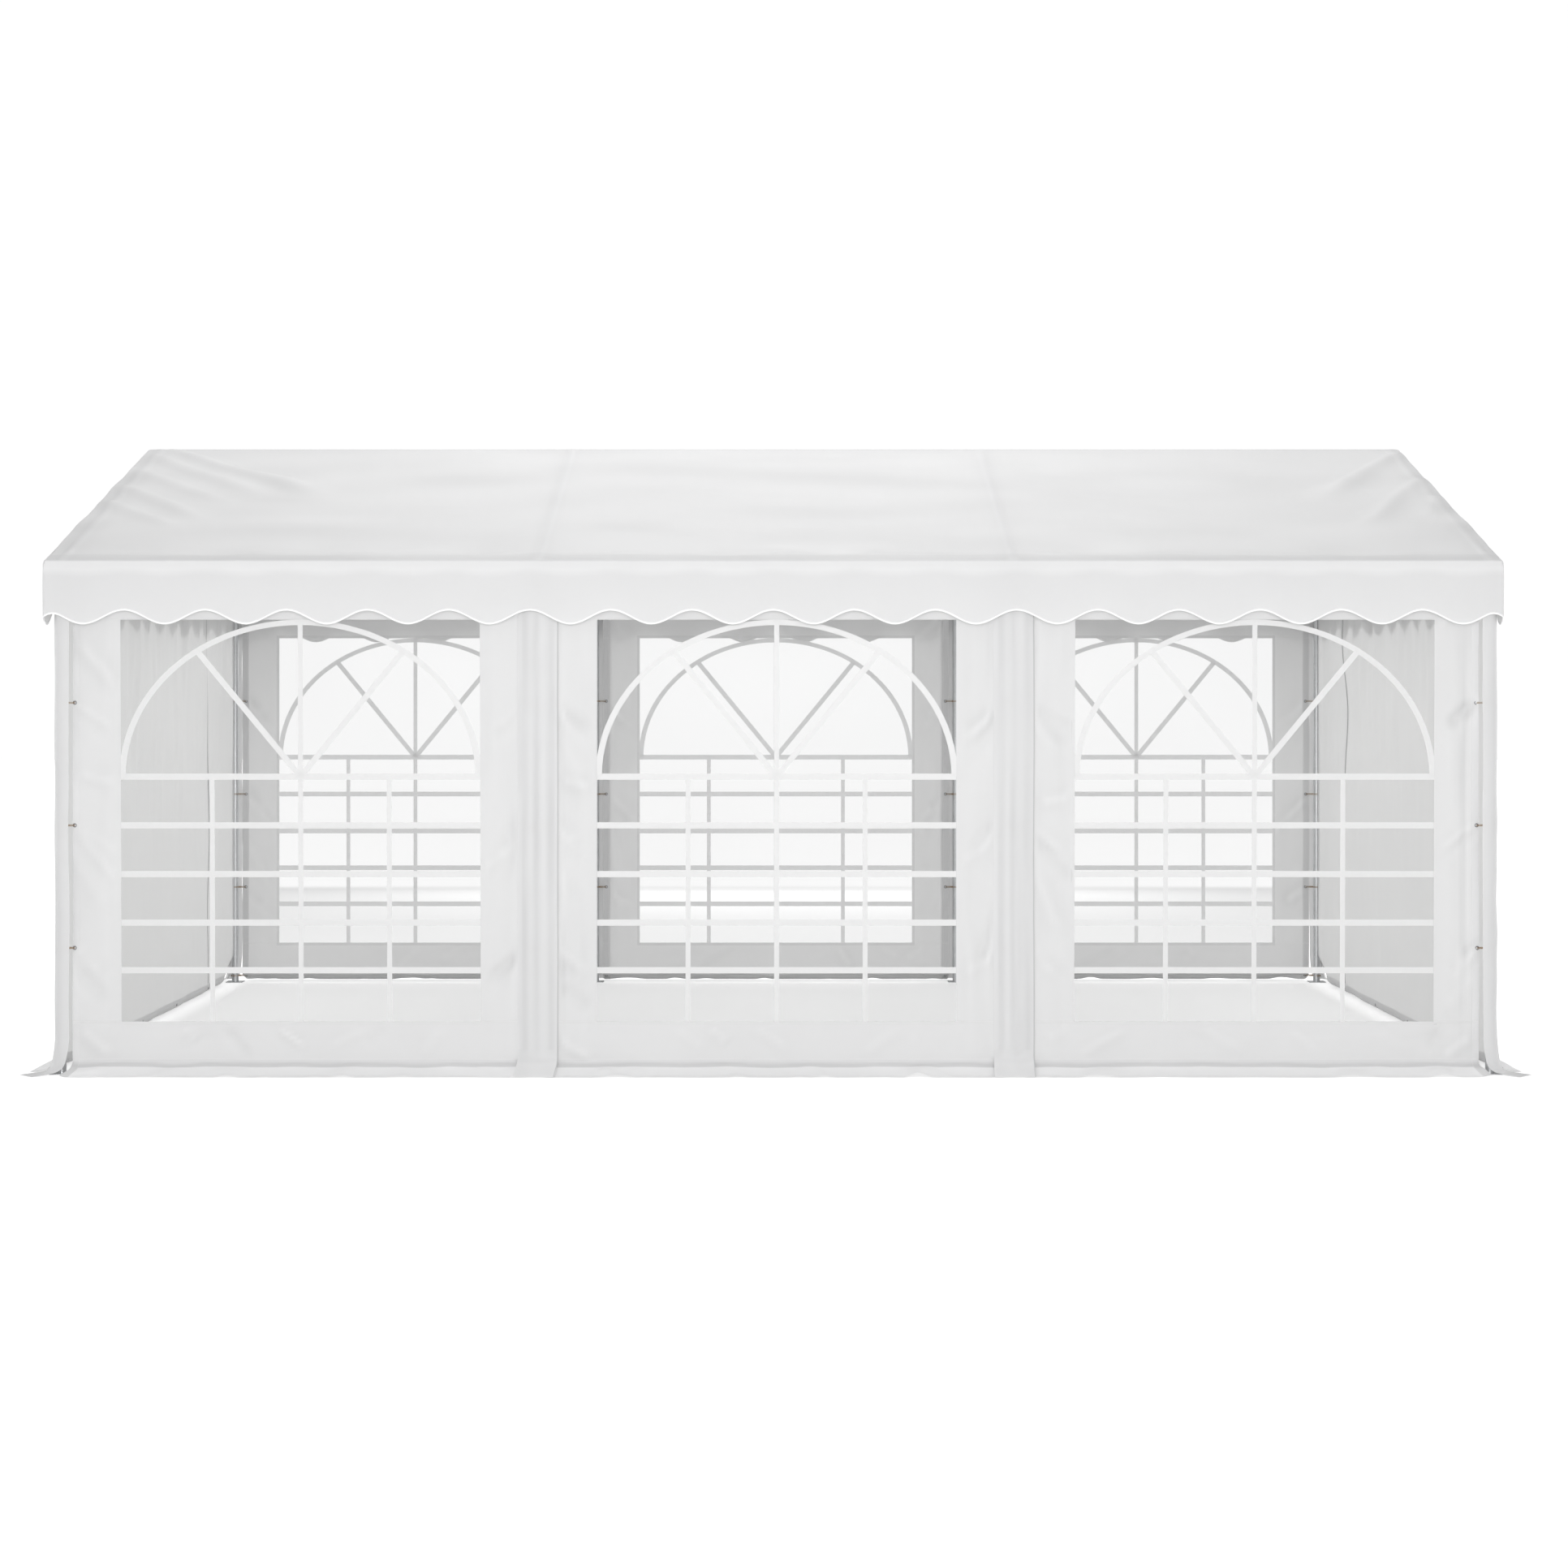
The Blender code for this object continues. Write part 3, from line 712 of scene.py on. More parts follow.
# column runs from -3 to 3: up to 1 over the flat of the cover, to 2 round its edge and to 3 down the
# lap on the gable. row is the distance from the ridge, and past the fold the share of the valance.
def placeCover(column, row):
    side = np.where(row < 0, 0, 1)
    depth = np.abs(row)
    flat = np.clip(np.abs(column), 0, 1)
    turn = np.clip(np.abs(column) - 1, 0, 1) * math.pi / 2
    lap = np.clip(np.abs(column) - 2, 0, 1) * roof["flange"]
    atRidge, atEave, atHem = roof["edgeRadius"]
    edge = np.interp(depth, [0, foldStart - 0.1, foldStart, foldEnd + 0.05], [atRidge, atEave, atEave, atHem])
    reach = roof["halfLength"] - edge
    x = np.sign(column) * (flat * reach + edge * np.sin(turn))
    inward = edge * (1 - np.cos(turn)) + lap
    hemX = np.where(np.abs(column) > 1, np.sign(column) * (roof["halfLength"] + lap), x)
    hem = hemHeight(hemX, roof["halfLength"], roof["hemWaves"], 1)
    down = np.where(depth > foldEnd, foldEnd + (depth - foldEnd) * (valanceTop - hem), depth)
    y = np.interp(down, sectionLine[0], sectionLine[1])
    z = np.interp(down, sectionLine[0], sectionLine[2])
    turns = [0, roofSlope, roofSlope, math.pi / 2]
    softTurn = np.interp(down, [0, 0.06, foldStart - 0.07, foldEnd + 0.07], turns)
    onSlope = np.minimum(down, foldStart)
    placed = x + roof["shift"]
    bulge = np.where(side == 0, slopeBulge(placed, onSlope, 0), slopeBulge(placed, onSlope, 1))
    bulge = bulge * (1 - smoothStep(foldStart - 0.01, foldEnd, down))
    hanging = smoothStep(0.02, 0.2, down - foldEnd)
    fluttering = np.where(side == 0, ripples(x, z, 41, 7, 0.35, 1.2), ripples(x, z, 42, 7, 0.35, 1.2))
    flutter = roof["flutter"] * hanging * fluttering
    leanShare = np.clip((down - foldEnd) / roof["leanHeight"], 0, 1)
    lean = -roof["valanceLean"] * smoothStep(foldStart - 0.026, foldStart, down) * (1 - leanShare) ** 1.7
    endFade = np.where(np.abs(column) > 1, 1 - np.clip(np.abs(column) - 1, 0, 1), 1)
    off = bulge * endFade - inward
    y = y + off * np.sin(softTurn) + flutter + lean
    z = z + off * np.cos(softTurn)
    bumpy = roof["endWander"] * ripples(down, 0 * down, 51, 5, 0.25, 0.7) * smoothStep(0.1, 0.5, down)
    x = x + np.sign(column) * bumpy * smoothStep(0.9, 1.0, np.abs(column)) + roof["shift"]
    sideSign = np.where(side == 0, -1, 1)
    points = np.stack([x, sideSign * y, z], axis=1)
    cloth = np.stack([np.sign(column) * (np.abs(x) + inward), sideSign * down], axis=1)
    return points, cloth


edgeMarks = [1 + (i + 1) / 5 for i in range(5)] + [2.5, 3.0]
tubeMarks = [(pole - roof["shift"]) / (roof["halfLength"] - 0.012) for pole in poleCentres]
tubeStops = [mark + side * 0.011 for mark in tubeMarks for side in (-1, 1)]
plainStep = roof["columnStep"] / roof["halfLength"]
flatMarks = [-1.0]
for low, high in zip([-1.0, *tubeStops], [*tubeStops, 1.0]):
    onTube = any(low <= mark <= high for mark in tubeMarks)
    flatMarks += spaced([low, high], 0.0022 if onTube else plainStep)[1:]
coverColumns = [-m for m in edgeMarks[::-1]] + flatMarks + edgeMarks
slopeRows = (
    [sectionLine[0][i] for i in range(0, 9, 2)]
    + list(np.linspace(sectionLine[0][8], foldStart - 0.14, 82))[1:]
    + list(np.linspace(foldStart - 0.14, foldStart, 16))[1:]
    + [foldStart + (foldEnd - foldStart) * (i + 1) / 4 for i in range(4)]
    + [foldEnd + share for share in (0.06, 0.12, 0.18, 0.26, 0.36, 0.46, 0.56, 0.67, 0.78, 0.89, 1.0)]
)
coverRows = [-r for r in slopeRows[:0:-1]] + slopeRows


# Painted light and shade of the slopes; on the valance a plain lift, and painted light just below the fold
def coverTone(column, row):
    side = np.where(row < 0, 0, 1)
    down = np.minimum(np.abs(row), foldStart)
    x = np.clip(column, -1, 1) * roof["halfLength"] + roof["shift"]
    tone = np.where(side == 0, slopeTone(x, down, 0), slopeTone(x, down, 1))
    below = smoothStep(foldStart, foldEnd, np.abs(row))
    nearFold = 1 - smoothStep(0.12, 0.24, np.abs(row) - foldEnd)
    return tone * (1 - below) + roofShadingAndTone["valance"] * below + roofShadingAndTone["belowFold"] * below * nearFold


cover = addPiece(
    "roof_cover_cloth",
    sheetMesh("roof_cover_cloth", coverColumns, coverRows, placeCover, shade=coverTone),
    roofCloth,
    ("roof_cover", "valance_front", "valance_back"),
)


gable = dict(
    inset=0.0008,
    gaps=(0.018, 0.012, 0.008),  # below the cover at the ridge, near the eave and at it
    seam=roof["foldZ"] - 0.02,  # where the valance starts
    valanceWaves=0.004,
    waves=0.003,
)


# The gable and its valance, one sheet for each end
def placeGable(sign):
    half = roof["halfDepth"] - gable["inset"]

    def place(column, row):
        y = column * half
        depth = np.abs(y)
        slopeZ = np.interp(depth, sectionLine[1][:18], sectionLine[2][:18])
        top = slopeZ - np.interp(depth, [0, 1.7, 2.05], gable["gaps"])
        hem = hemHeight(y, roof["halfDepth"], roof["endWaves"], -1)
        seam = gable["seam"]
        z = np.where(row <= 1, top + (seam - top) * row, seam + (hem - seam) * (row - 1))
        low = smoothStep(0.0, 0.2, roof["foldZ"] - z)
        free = smoothStep(0.0, 0.05, half - depth)
        upper = free * (1 - low) * smoothStep(0, 0.1, top - z)
        out = gable["valanceWaves"] * low * free * ripples(y, z, 61 + sign, 7, 0.3, 0.9)
        out = out + gable["waves"] * upper * ripples(y, z, 63 + sign, 7, 0.3, 1.0)
        x = sign * (roof["halfLength"] - gable["inset"] + out) + roof["shift"]
        return np.stack([x + 0 * y, y, z], axis=1), np.stack([y, z], axis=1)

    return place


gableColumns = np.linspace(-1, 1, 14 * roof["endWaves"] + 1)
gableRows = list(np.linspace(0, 1, 25)) + [1 + share for share in np.linspace(0, 1, 15)[1:]]
for sideName, sign in (("left", -1), ("right", 1)):
    mesh = sheetMesh(f"gable_{sideName}", gableColumns, gableRows, placeGable(sign))
    if sign > 0:
        mesh.flip_normals()
    piece = addPiece(f"gable_{sideName}", mesh, valanceCloth, (f"valance_{sideName}",))


# A closed tube of oval section along a path; across and upward are its directions at each point.
def sweptMesh(name, path, across, upward, halfWidth, halfHeight, sides):
    length = lengthsAlong(path)

    def place(step, angle):
        i = np.rint(step).astype(int)
        a = np.cos(angle) * halfWidth
        b = np.sin(angle) * halfHeight
        points = path[i] + across[i] * a[:, None] + upward[i] * b[:, None]
        return points, np.stack([length[i], angle * halfHeight], axis=1)

    mesh = sheetMesh(name, range(len(path)), np.linspace(0, math.tau, sides + 1), place)
    bm = bmesh.new()
    bm.from_mesh(mesh)
    bmesh.ops.remove_doubles(bm, verts=bm.verts[:], dist=0.00002)
    bmesh.ops.holes_fill(bm, edges=[e for e in bm.edges if e.is_boundary], sides=sides)
    bmesh.ops.recalc_face_normals(bm, faces=bm.faces[:])
    for face in bm.faces:
        face.smooth = True
    bm.to_mesh(mesh)
    bm.free()
    return mesh


# The same direction at every point of a path
def everywhere(direction, path):
    return np.tile(np.array(direction, float), (len(path), 1))


piping = dict(height=0.0095, thickness=0.0030, lap=0.0015, sides=8, perWave=20)


# White piping round the scalloped hem
def addPiping(sideName, path, outward):
    halfWidth, halfHeight = piping["thickness"] / 2, piping["height"] / 2
    across, upward = everywhere(outward, path), everywhere((0, 0, 1), path)
    path = path + upward * (halfHeight - piping["lap"])
    name = f"piping_{sideName}"
    mesh = sweptMesh(name, path, across, upward, halfWidth, halfHeight, piping["sides"])
    addPiece(name, mesh, pipingFinish)


middle = np.linspace(-1, 1, roof["hemWaves"] * piping["perWave"] + 1)
columns = np.concatenate([np.linspace(-1.9, -1, 5)[:-1], middle, np.linspace(1, 1.9, 5)[1:]])
for sideName, sign in (("front", -1), ("back", 1)):
    addPiping(sideName, placeCover(columns, sign * coverRows[-1] + 0 * columns)[0], (0, sign, 0))
columns = np.linspace(-0.995, 0.995, roof["endWaves"] * piping["perWave"] + 1)
for sideName, sign in (("left", -1), ("right", 1)):
    addPiping(sideName, placeGable(sign)(columns, gableRows[-1] + 0 * columns)[0], (sign, 0, 0))


print("hanging the window walls")
wall = dict(
    half=0.9595,
    hem=0.034,
    windowHalf=0.755,
    windowBottom=0.2185,
    windowTop=1.907,
    filmLap=0.015,
    filmInside=0.0018,  # how far the film lies behind the cloth
    filmStep=0.11,
    columnStep=0.016,
    rowStep=0.018,
    hemBand=(0.031, 0.058),  # doubled cloth along the foot
    foot=[  # distance out and height of the part that turns out on the ground
        *((0.000, 0.066), (-0.002, 0.056), (0.002, 0.046), (0.024, 0.036)),
        *((0.068, 0.0205), (0.112, 0.0075), (0.147, 0.0020)),
    ],
    waves=0.0050,
    uprightWaves=0.0022,
    foldHeight=1.5,  # times the height of each fold
    swing=0.006,
    flare=0.026,  # how far the foot spreads beside a corner pole
    bendWaves=0.0028,
    wrinkles=0.0055,  # of the part on the ground
    skirtLift=0.0006,
    lowest=0.0008,
    tieHeights=(0.036, 0.528, 1.043, 1.558, 2.07),
    tieInset=0.0185,
    cornerTieInset=0.0095,
    cornerHalf=0.9545,  # the front panels end sooner beside the corner poles
    # how far a window sits beside its panel's middle, at its foot and at its top
    slip={"front_left": (0.0055, 0.0005), "front_middle": (0.003, 0.0035), "front_right": (0.0085, 0.0135)},
)

# How much the walls' cloth is painted darker or lighter: painted shade on the flanks and hollows of the folds
# and light on their crests, and painted shade on the foot's hem band and on the back panels' side hems
wallPaintedShading = dict(flank=-0.30, crest=-0.0018, hemBand=-0.06, sideHem=-0.14)


# Name, middle, side and seed of each panel
def wallPanels():
    seed = 100
    for sideName, sign in (("front", -1), ("back", 1)):
        for hand, centre in zip(("left", "middle", "right"), bayCentres):
            yield f"{sideName}_{hand}", centre, sign, seed
            seed += 20


def slipped(name, x, z):
    low, high = wall["slip"].get(name, (0, 0))
    share = (z - wall["windowBottom"]) / (wall["windowTop"] - wall["windowBottom"])
    return x + (low + (high - low) * share) * (1 - smoothStep(0.775, 0.92, np.abs(x)))


# Whether a panel's left (-1) or right (1) edge is beside a corner pole
def besideCorner(name, hand):
    return name.endswith("left" if hand < 0 else "right")


def sideHalf(name, hand):
    return wall["cornerHalf"] if besideCorner(name, hand) and name.startswith("front") else wall["half"]


# How far a place is outside the panel's window
def fromWindow(x, z):
    above = np.maximum(z - wall["windowTop"], wall["windowBottom"] - z)
    return np.maximum(np.abs(x) - wall["windowHalf"], above)


# A smooth line through the foot's points, as length down the cloth, distance out and height
def footLine(points):
    given = np.array(points)
    length = lengthsAlong(given)
    fine = np.linspace(0, length[-1], 60)
    out, high = (softened(np.interp(fine, length, given[:, axis]), 6) for axis in (0, 1))
    return fine, out, high


# Distance out and height of a row, which is a height, or past the foot's top the length down the foot, below
# zero; above the foot the distance out is plain
def onFoot(foot, row, plain=0):
    out = np.where(row >= 0, plain, np.interp(-row, foot[0], foot[1]))
    return out, np.where(row >= 0, row, np.interp(-row, foot[0], foot[2]))


# The row at which a foot line reaches a given height
def footRow(foot, height):
    return -float(np.interp(-height, -foot[2], foot[0]))


wallFoot = footLine(wall["foot"])


# Folds that the ties pull from both sides of a panel, and a few long soft ones between them
def panelCreases(seed):
    draw = random.Random(seed)
    creases = []
    for hand in (-1, 1):
        edge = hand * (wall["half"] - 0.01)
        for height in wall["tieHeights"][1:]:
            for _ in range(2):
                run = draw.uniform(0.10, 0.22)
                drop = draw.uniform(-0.5, -1.3) * run
                start = (edge, height + draw.uniform(-0.02, 0.02))
                end = (edge - hand * run, height + drop)
                width = draw.uniform(0.026, 0.036)
                creases.append((start, end, width, draw.uniform(0.003, 0.006) * draw.choice((1, 1, -1))))
        for _ in range(3):  # long folds beside the window
            low = draw.uniform(0.25, 1.5)
            start = (hand * draw.uniform(0.90, 0.95), low + draw.uniform(0.15, 0.4))
            end = (hand * draw.uniform(0.77, 0.84), low)
            creases.append((start, end, draw.uniform(0.03, 0.045), draw.uniform(-0.007, 0.007)))
    for _ in range(7):  # below the window
        x = draw.uniform(-0.85, 0.85)
        long = draw.uniform(0.10, 0.26)
        lean = draw.choice((-1, 1)) * draw.uniform(0.3, 1.2)
        end = (x + lean * long, 0.205 - long * 0.55)
        creases.append(((x, 0.205), end, draw.uniform(0.025, 0.036), draw.uniform(-0.005, 0.006)))
    return creases


# Folds of the front panels that have a place of their own, in the panel's own x and z
knownCreases = {
    "front_left": [
        ((-0.945, 1.84), (-0.74, 1.60), 0.042, 0.010),
        ((-0.945, 1.27), (-0.76, 1.22), 0.034, 0.006),
        ((-0.955, 0.46), (-0.80, 0.30), 0.036, -0.007),
        ((-0.93, 0.205), (-0.78, 0.07), 0.036, 0.008),
        ((-0.10, 0.20), (0.02, 0.11), 0.020, 0.005),
    ],
    "front_middle": [
        ((-0.935, 0.16), (-0.77, 0.06), 0.034, 0.008),
        ((-0.92, 1.24), (-0.76, 1.20), 0.032, 0.006),
        ((-0.90, 0.38), (-0.78, 0.27), 0.034, -0.006),
    ],
    "front_right": [
        ((0.93, 0.17), (0.78, 0.06), 0.034, 0.008),
        ((0.90, 1.90), (0.88, 0.10), 0.016, -0.004),
        ((-0.90, 1.14), (-0.77, 1.17), 0.034, 0.007),
    ],
}


# How far the panel's cloth stands off its plane
def wallRelief(name, seed):
    creases = panelCreases(seed) + knownCreases.get(name, [])

    def bulge(x, z):
        beside = fromWindow(x, z)
        broad = wall["waves"] * ripples(x, z * 0.8, seed, 8, 0.30, 0.9)
        upright = wall["uprightWaves"] * ripples(x * 2.2, z * 0.5, seed + 5, 6, 0.2, 0.5)
        waves = broad + upright * smoothStep(0.75, 0.85, np.abs(x))
        held = smoothStep(0.0, 0.07, beside) * smoothStep(0.0, 0.25, tent["wallTop"] - z)
        folds = wall["foldHeight"] * creased(x, z, creases) * smoothStep(0.0, 0.03, beside)
        atCorner = (x < -0.5) * besideCorner(name, -1) + (x > 0.5) * besideCorner(name, 1)
        underStrip = np.where(atCorner, 1, 1 - smoothStep(0.88, 0.925, np.abs(x)))
        return (waves * held + folds) * underStrip

    return bulge


def placeWall(name, centre, sign, seed):
    footTop = wall["foot"][0][1]
    bulge = wallRelief(name, seed)

    def place(x, row):
        out, z = onFoot(wallFoot, row)
        onSkirt = smoothStep(0.02, 0.12, -row)
        rise = ripples(x, 0 * x, seed + 9, 6, 0.14, 0.5) + 0.5 * ripples(x, row, seed + 11, 6, 0.08, 0.2)
        z = z + onSkirt * (wall["skirtLift"] + wall["wrinkles"] * np.clip(rise, 0, 3) ** 1.2)
        onBend = smoothStep(0.015, 0.04, -row) * (1 - onSkirt)
        z = z + wall["bendWaves"] * ripples(x, 0 * x, seed + 13, 5, 0.2, 0.45) * onBend
        swing = wall["swing"] * smoothStep(0.0, 0.08, -row) * ripples(x, 0 * x, seed + 3, 5, 0.2, 0.6)
        y = tent["halfDepth"] + out + bulge(x, z) * (1 - onSkirt) + swing
        side = np.where(x < 0, sideHalf(name, -1), sideHalf(name, 1)) / wall["half"]
        flare = wall["flare"] * smoothStep(0.06, 0.20, -row) * smoothStep(0.84, 0.96, np.abs(x)) * (side < 1)
        narrowed = 1 + (side - 1) * smoothStep(0.9, 0.955, np.abs(x))
        moved = slipped(name, x, z) * narrowed + np.sign(x) * flare
        points = np.stack([centre + moved, sign * y, np.maximum(z, wall["lowest"])], axis=1)
        return points, np.stack([x, np.where(row >= 0, row, row + footTop)], axis=1)

    return place


def makeWall(name, centre, sign, seed):
    half, window, top = wall["half"], wall["windowHalf"], tent["wallTop"]
    footTop = wall["foot"][0][1]
    hem = half - wall["hem"]
    hemEdge = hem - 0.003
    low, high = (footRow(wallFoot, height) for height in wall["hemBand"])
    columns = spaced([-half, -hem, -hemEdge, -window, window, hemEdge, hem, half], wall["columnStep"])
    rows = spaced([footTop, wall["windowBottom"], wall["windowTop"], top], wall["rowStep"])
    skirt = spaced([-float(wallFoot[0][-1]), low], 0.008) + spaced([low, high, -0.0001], 0.006)[1:]

    def cutOut(x, z):
        return abs(x) < window and wall["windowBottom"] < z < wall["windowTop"]

    def band(x, row):
        if abs(x) > hem or row > top - wall["hem"] or low < row < high:
            return 1
        return 2 if row < low else 0

    def shade(x, row):
        # Painted light and shade of the folds, the foot's hem band and the back panels' side hems
        slopeX, slopeZ, bend = relief(wallRelief(name, seed), x, np.maximum(row, footTop))
        tone = wallPaintedShading["flank"] * (slopeX**2 + slopeZ**2) + wallPaintedShading["crest"] * np.clip(bend, -40, 40)
        tone = tone * smoothStep(0.01, 0.045, fromWindow(x, row)) * smoothStep(-0.02, footTop, row)
        onBand = smoothStep(low - 0.003, low + 0.020, row) * (1 - smoothStep(high - 0.002, high + 0.002, row))
        onHem = smoothStep(hemEdge, hem, np.abs(x)) * (sign > 0) * smoothStep(0, footTop, row)
        return tone + wallPaintedShading["hemBand"] * onBand + wallPaintedShading["sideHem"] * onHem

    place = placeWall(name, centre, sign, seed)
    mesh = sheetMesh(f"wall_{name}_cloth", columns, skirt + rows, place, cutOut, band, shade)
    if sign > 0:
        mesh.flip_normals()
    finishes = [wallCloth, hemCloth, skirtLitCloth]
    piece = addPiece(f"wall_{name}_cloth", mesh, finishes, (f"wall_{name}",))


def makeFilmPiece(name, centre, sign):
    half = wall["windowHalf"] + wall["filmLap"]
    low, high = wall["windowBottom"] - wall["filmLap"], wall["windowTop"] + wall["filmLap"]
    y = sign * (tent["halfDepth"] - wall["filmInside"])

    def place(x, z):
        return np.stack([centre + slipped(name, x, z), y + 0 * x, z], axis=1), np.stack([x, z], axis=1)

    columns, rows = (spaced(ends, wall["filmStep"]) for ends in ([-half, half], [low, high]))
    mesh = sheetMesh(f"film_{name}", columns, rows, place)
    if sign > 0:
        mesh.flip_normals()
    piece = addPiece(f"film_{name}", mesh, filmFinish, (f"window_{name}",))


bars = dict(
    crossHeights=(1.2475, 1.043, 0.838, 0.634, 0.434),
    crossWidth=0.026,
    postWidth=0.021,
    postOffset=0.372,
    archInner=0.735,
    archOuter=0.761,
    archSquash=0.867,
    archSteps=48,
    spokeWidth=0.025,
    spokeAngle=50.6,
    spokeOverlap=0.006,  # past the arch's inner edge
    fromEdge=0.0005,  # between the bars and the window's edge
    behindWall=0.0012,
    archFront=0.0003,  # the arch and each spoke lie in planes of their own, a hair apart
    spokeFront=(0.0002, 0.0006),
)


# The arch and its two spokes, round (0, 0, 0)
def makeArch(sign):
    arch = bmesh.new()
    inner, outer, squash = bars["archInner"], bars["archOuter"], bars["archSquash"]
    first = [arch.verts.new((r, 0, 0)) for r in (inner, outer)]
    edge = arch.edges.new(first)
    around = dict(cent=(0, 0, 0), axis=(0, -1, 0), angle=math.pi, steps=bars["archSteps"])
    bmesh.ops.spin(arch, geom=[*first, edge], **around)
    bmesh.ops.scale(arch, vec=(1, 1, squash), verts=arch.verts[:])
    turn = math.radians(bars["spokeAngle"])
    reach = 1 / math.hypot(math.cos(turn) / inner, math.sin(turn) / (inner * squash))
    for hand, front in zip((-1, 1), bars["spokeFront"]):
        along = Vector((hand * math.cos(turn), 0, math.sin(turn)))
        across = Vector((-along.z, 0, along.x))
        spoke = bmesh.ops.create_grid(arch, x_segments=1, y_segments=1, size=0.5)["verts"]
        for vert in spoke:
            push = (vert.co.x + 0.5) * (reach + bars["spokeOverlap"])
            side = vert.co.y * bars["spokeWidth"]
            vert.co = along * push + across * side + Vector((0, sign * front, 0))
    return arch


# The printed bars: a lattice of straight ones, and the arch over it
def makeBars(name, centre, sign):
    postHalf, crossHalf, heights = bars["postWidth"] / 2, bars["crossWidth"] / 2, bars["crossHeights"]
    half = wall["windowHalf"] - bars["fromEdge"]
    top, bottom = wall["windowTop"] - bars["fromEdge"], wall["windowBottom"] + bars["fromEdge"]
    front = tent["halfDepth"] - bars["behindWall"]

    def place(x, z):
        return np.stack([x, sign * front + 0 * x, z], axis=1), np.stack([x, z], axis=1)

    posts = sorted(side * bars["postOffset"] + edge for side in (-1, 0, 1) for edge in (-postHalf, postHalf))
    crosses = sorted(height + edge for height in heights for edge in (-crossHalf, crossHalf))

    def between(x, z):
        onCross = any(abs(z - height) < crossHalf for height in heights)
        onMiddle = abs(x) < postHalf
        onPost = abs(abs(x) - bars["postOffset"]) < postHalf and z < heights[0]
        return not (onCross or onMiddle or onPost)

    lattice = sheetMesh(f"bars_{name}", [-half, *posts, half], [bottom, *crosses, top], place, between)
    bm = bmesh.new()
    bm.from_mesh(lattice)
    arch = makeArch(sign)
    archCentre = Vector((0, sign * (front + bars["archFront"]), heights[0]))
    bmesh.ops.translate(arch, vec=archCentre, verts=arch.verts[:])
    takeUp(bm, meshOf(arch, "arch"))
    for vert in bm.verts:
        vert.co.x = centre + float(slipped(name, vert.co.x, vert.co.z))
    for face in bm.faces:
        face.normal_update()
        if face.normal.y * sign < 0:
            face.normal_flip()
    bm.to_mesh(lattice)
    bm.free()
    addPiece(f"bars_{name}", lattice, printFinish)


for name, centre, sign, seed in wallPanels():
    makeWall(name, centre, sign, seed)
    makeFilmPiece(name, centre, sign)
    makeBars(name, centre, sign)


print("tying the walls to the poles")
eyelet = dict(outer=0.0088, inner=0.0048, thickness=0.0030, steps=12, sides=6)
tie = dict(strand=0.0013, apart=0.0046, loop=0.0208, knot=0.0045, sides=6, turns=11)


# A pressed metal ring whose axis runs along Y
def eyeletTemplate():
    bm = bmesh.new()
    middle, width = (eyelet["outer"] + eyelet["inner"]) / 2, eyelet["outer"] - eyelet["inner"]
    for vert in bmesh.ops.create_circle(bm, segments=eyelet["sides"], radius=1.0)["verts"]:
        across, along, _ = vert.co
        vert.co = (middle + across * width / 2, along * eyelet["thickness"] / 2, 0)
    around = dict(cent=(0, 0, 0), axis=(0, 1, 0), angle=math.tau, steps=eyelet["steps"])
    bmesh.ops.spin(bm, geom=[*bm.verts, *bm.edges], use_merge=True, use_duplicate=False, **around)
    bmesh.ops.recalc_face_normals(bm, faces=bm.faces[:])
    for face in bm.faces:
        face.smooth = True
    return meshOf(bm, "eyeletTemplate")


eyeletMesh = eyeletTemplate()


# Many turned copies of a mesh in one new mesh
def scattered(name, template, matrices):
    bm = bmesh.new()
    bm.loops.layers.uv.new("cloth")
    for matrix in matrices:
        before = len(bm.verts)
        bm.from_mesh(template)
        bm.verts.ensure_lookup_table()
        bmesh.ops.transform(bm, matrix=matrix, verts=bm.verts[before:])
    return meshOf(bm, name)


# A strand goes through the eyelet at (reach, 0) and round the pole at (0, 0)
def tieLoop(reach):
    radius = tie["loop"]
    start = math.acos(radius / reach)
    turns = np.linspace(start, math.tau - start, tie["turns"])
    loop = [(reach, 0.0)] + [(radius * math.cos(t), radius * math.sin(t)) for t in turns] + [(reach, 0.0)]
    return np.array(loop)


# Two strands and a knot behind the pole for each pair of places, on the eyelet and on the pole
def tieMesh(name, spots):
    bm = bmesh.new()
    for eyeletAt, poleAt in spots:
        reach = abs(eyeletAt.x - poleAt.x)
        hand = math.copysign(1, eyeletAt.x - poleAt.x)
        loop = tieLoop(reach)
        lean = (eyeletAt.y - poleAt.y) * loop[:, 0] / reach
        for level in (-1, 1):
            z = np.full(len(loop), eyeletAt.z + level * tie["apart"] / 2)
            path = np.stack([poleAt.x + hand * loop[:, 0], poleAt.y + loop[:, 1] + lean, z], axis=1)
            along = np.gradient(path, axis=0)
            along /= np.linalg.norm(along, axis=1)[:, None]
            upward = everywhere((0, 0, 1), path)
            across = np.cross(along, upward)
            takeUp(bm, sweptMesh("strand", path, across, upward, tie["strand"], tie["strand"], tie["sides"]))
        knotAt = (poleAt.x - hand * tie["loop"], poleAt.y, eyeletAt.z)
        bmesh.ops.create_icosphere(bm, subdivisions=1, radius=tie["knot"], matrix=Matrix.Translation(knotAt))
    for face in bm.faces:
        face.smooth = True
    return meshOf(bm, name)


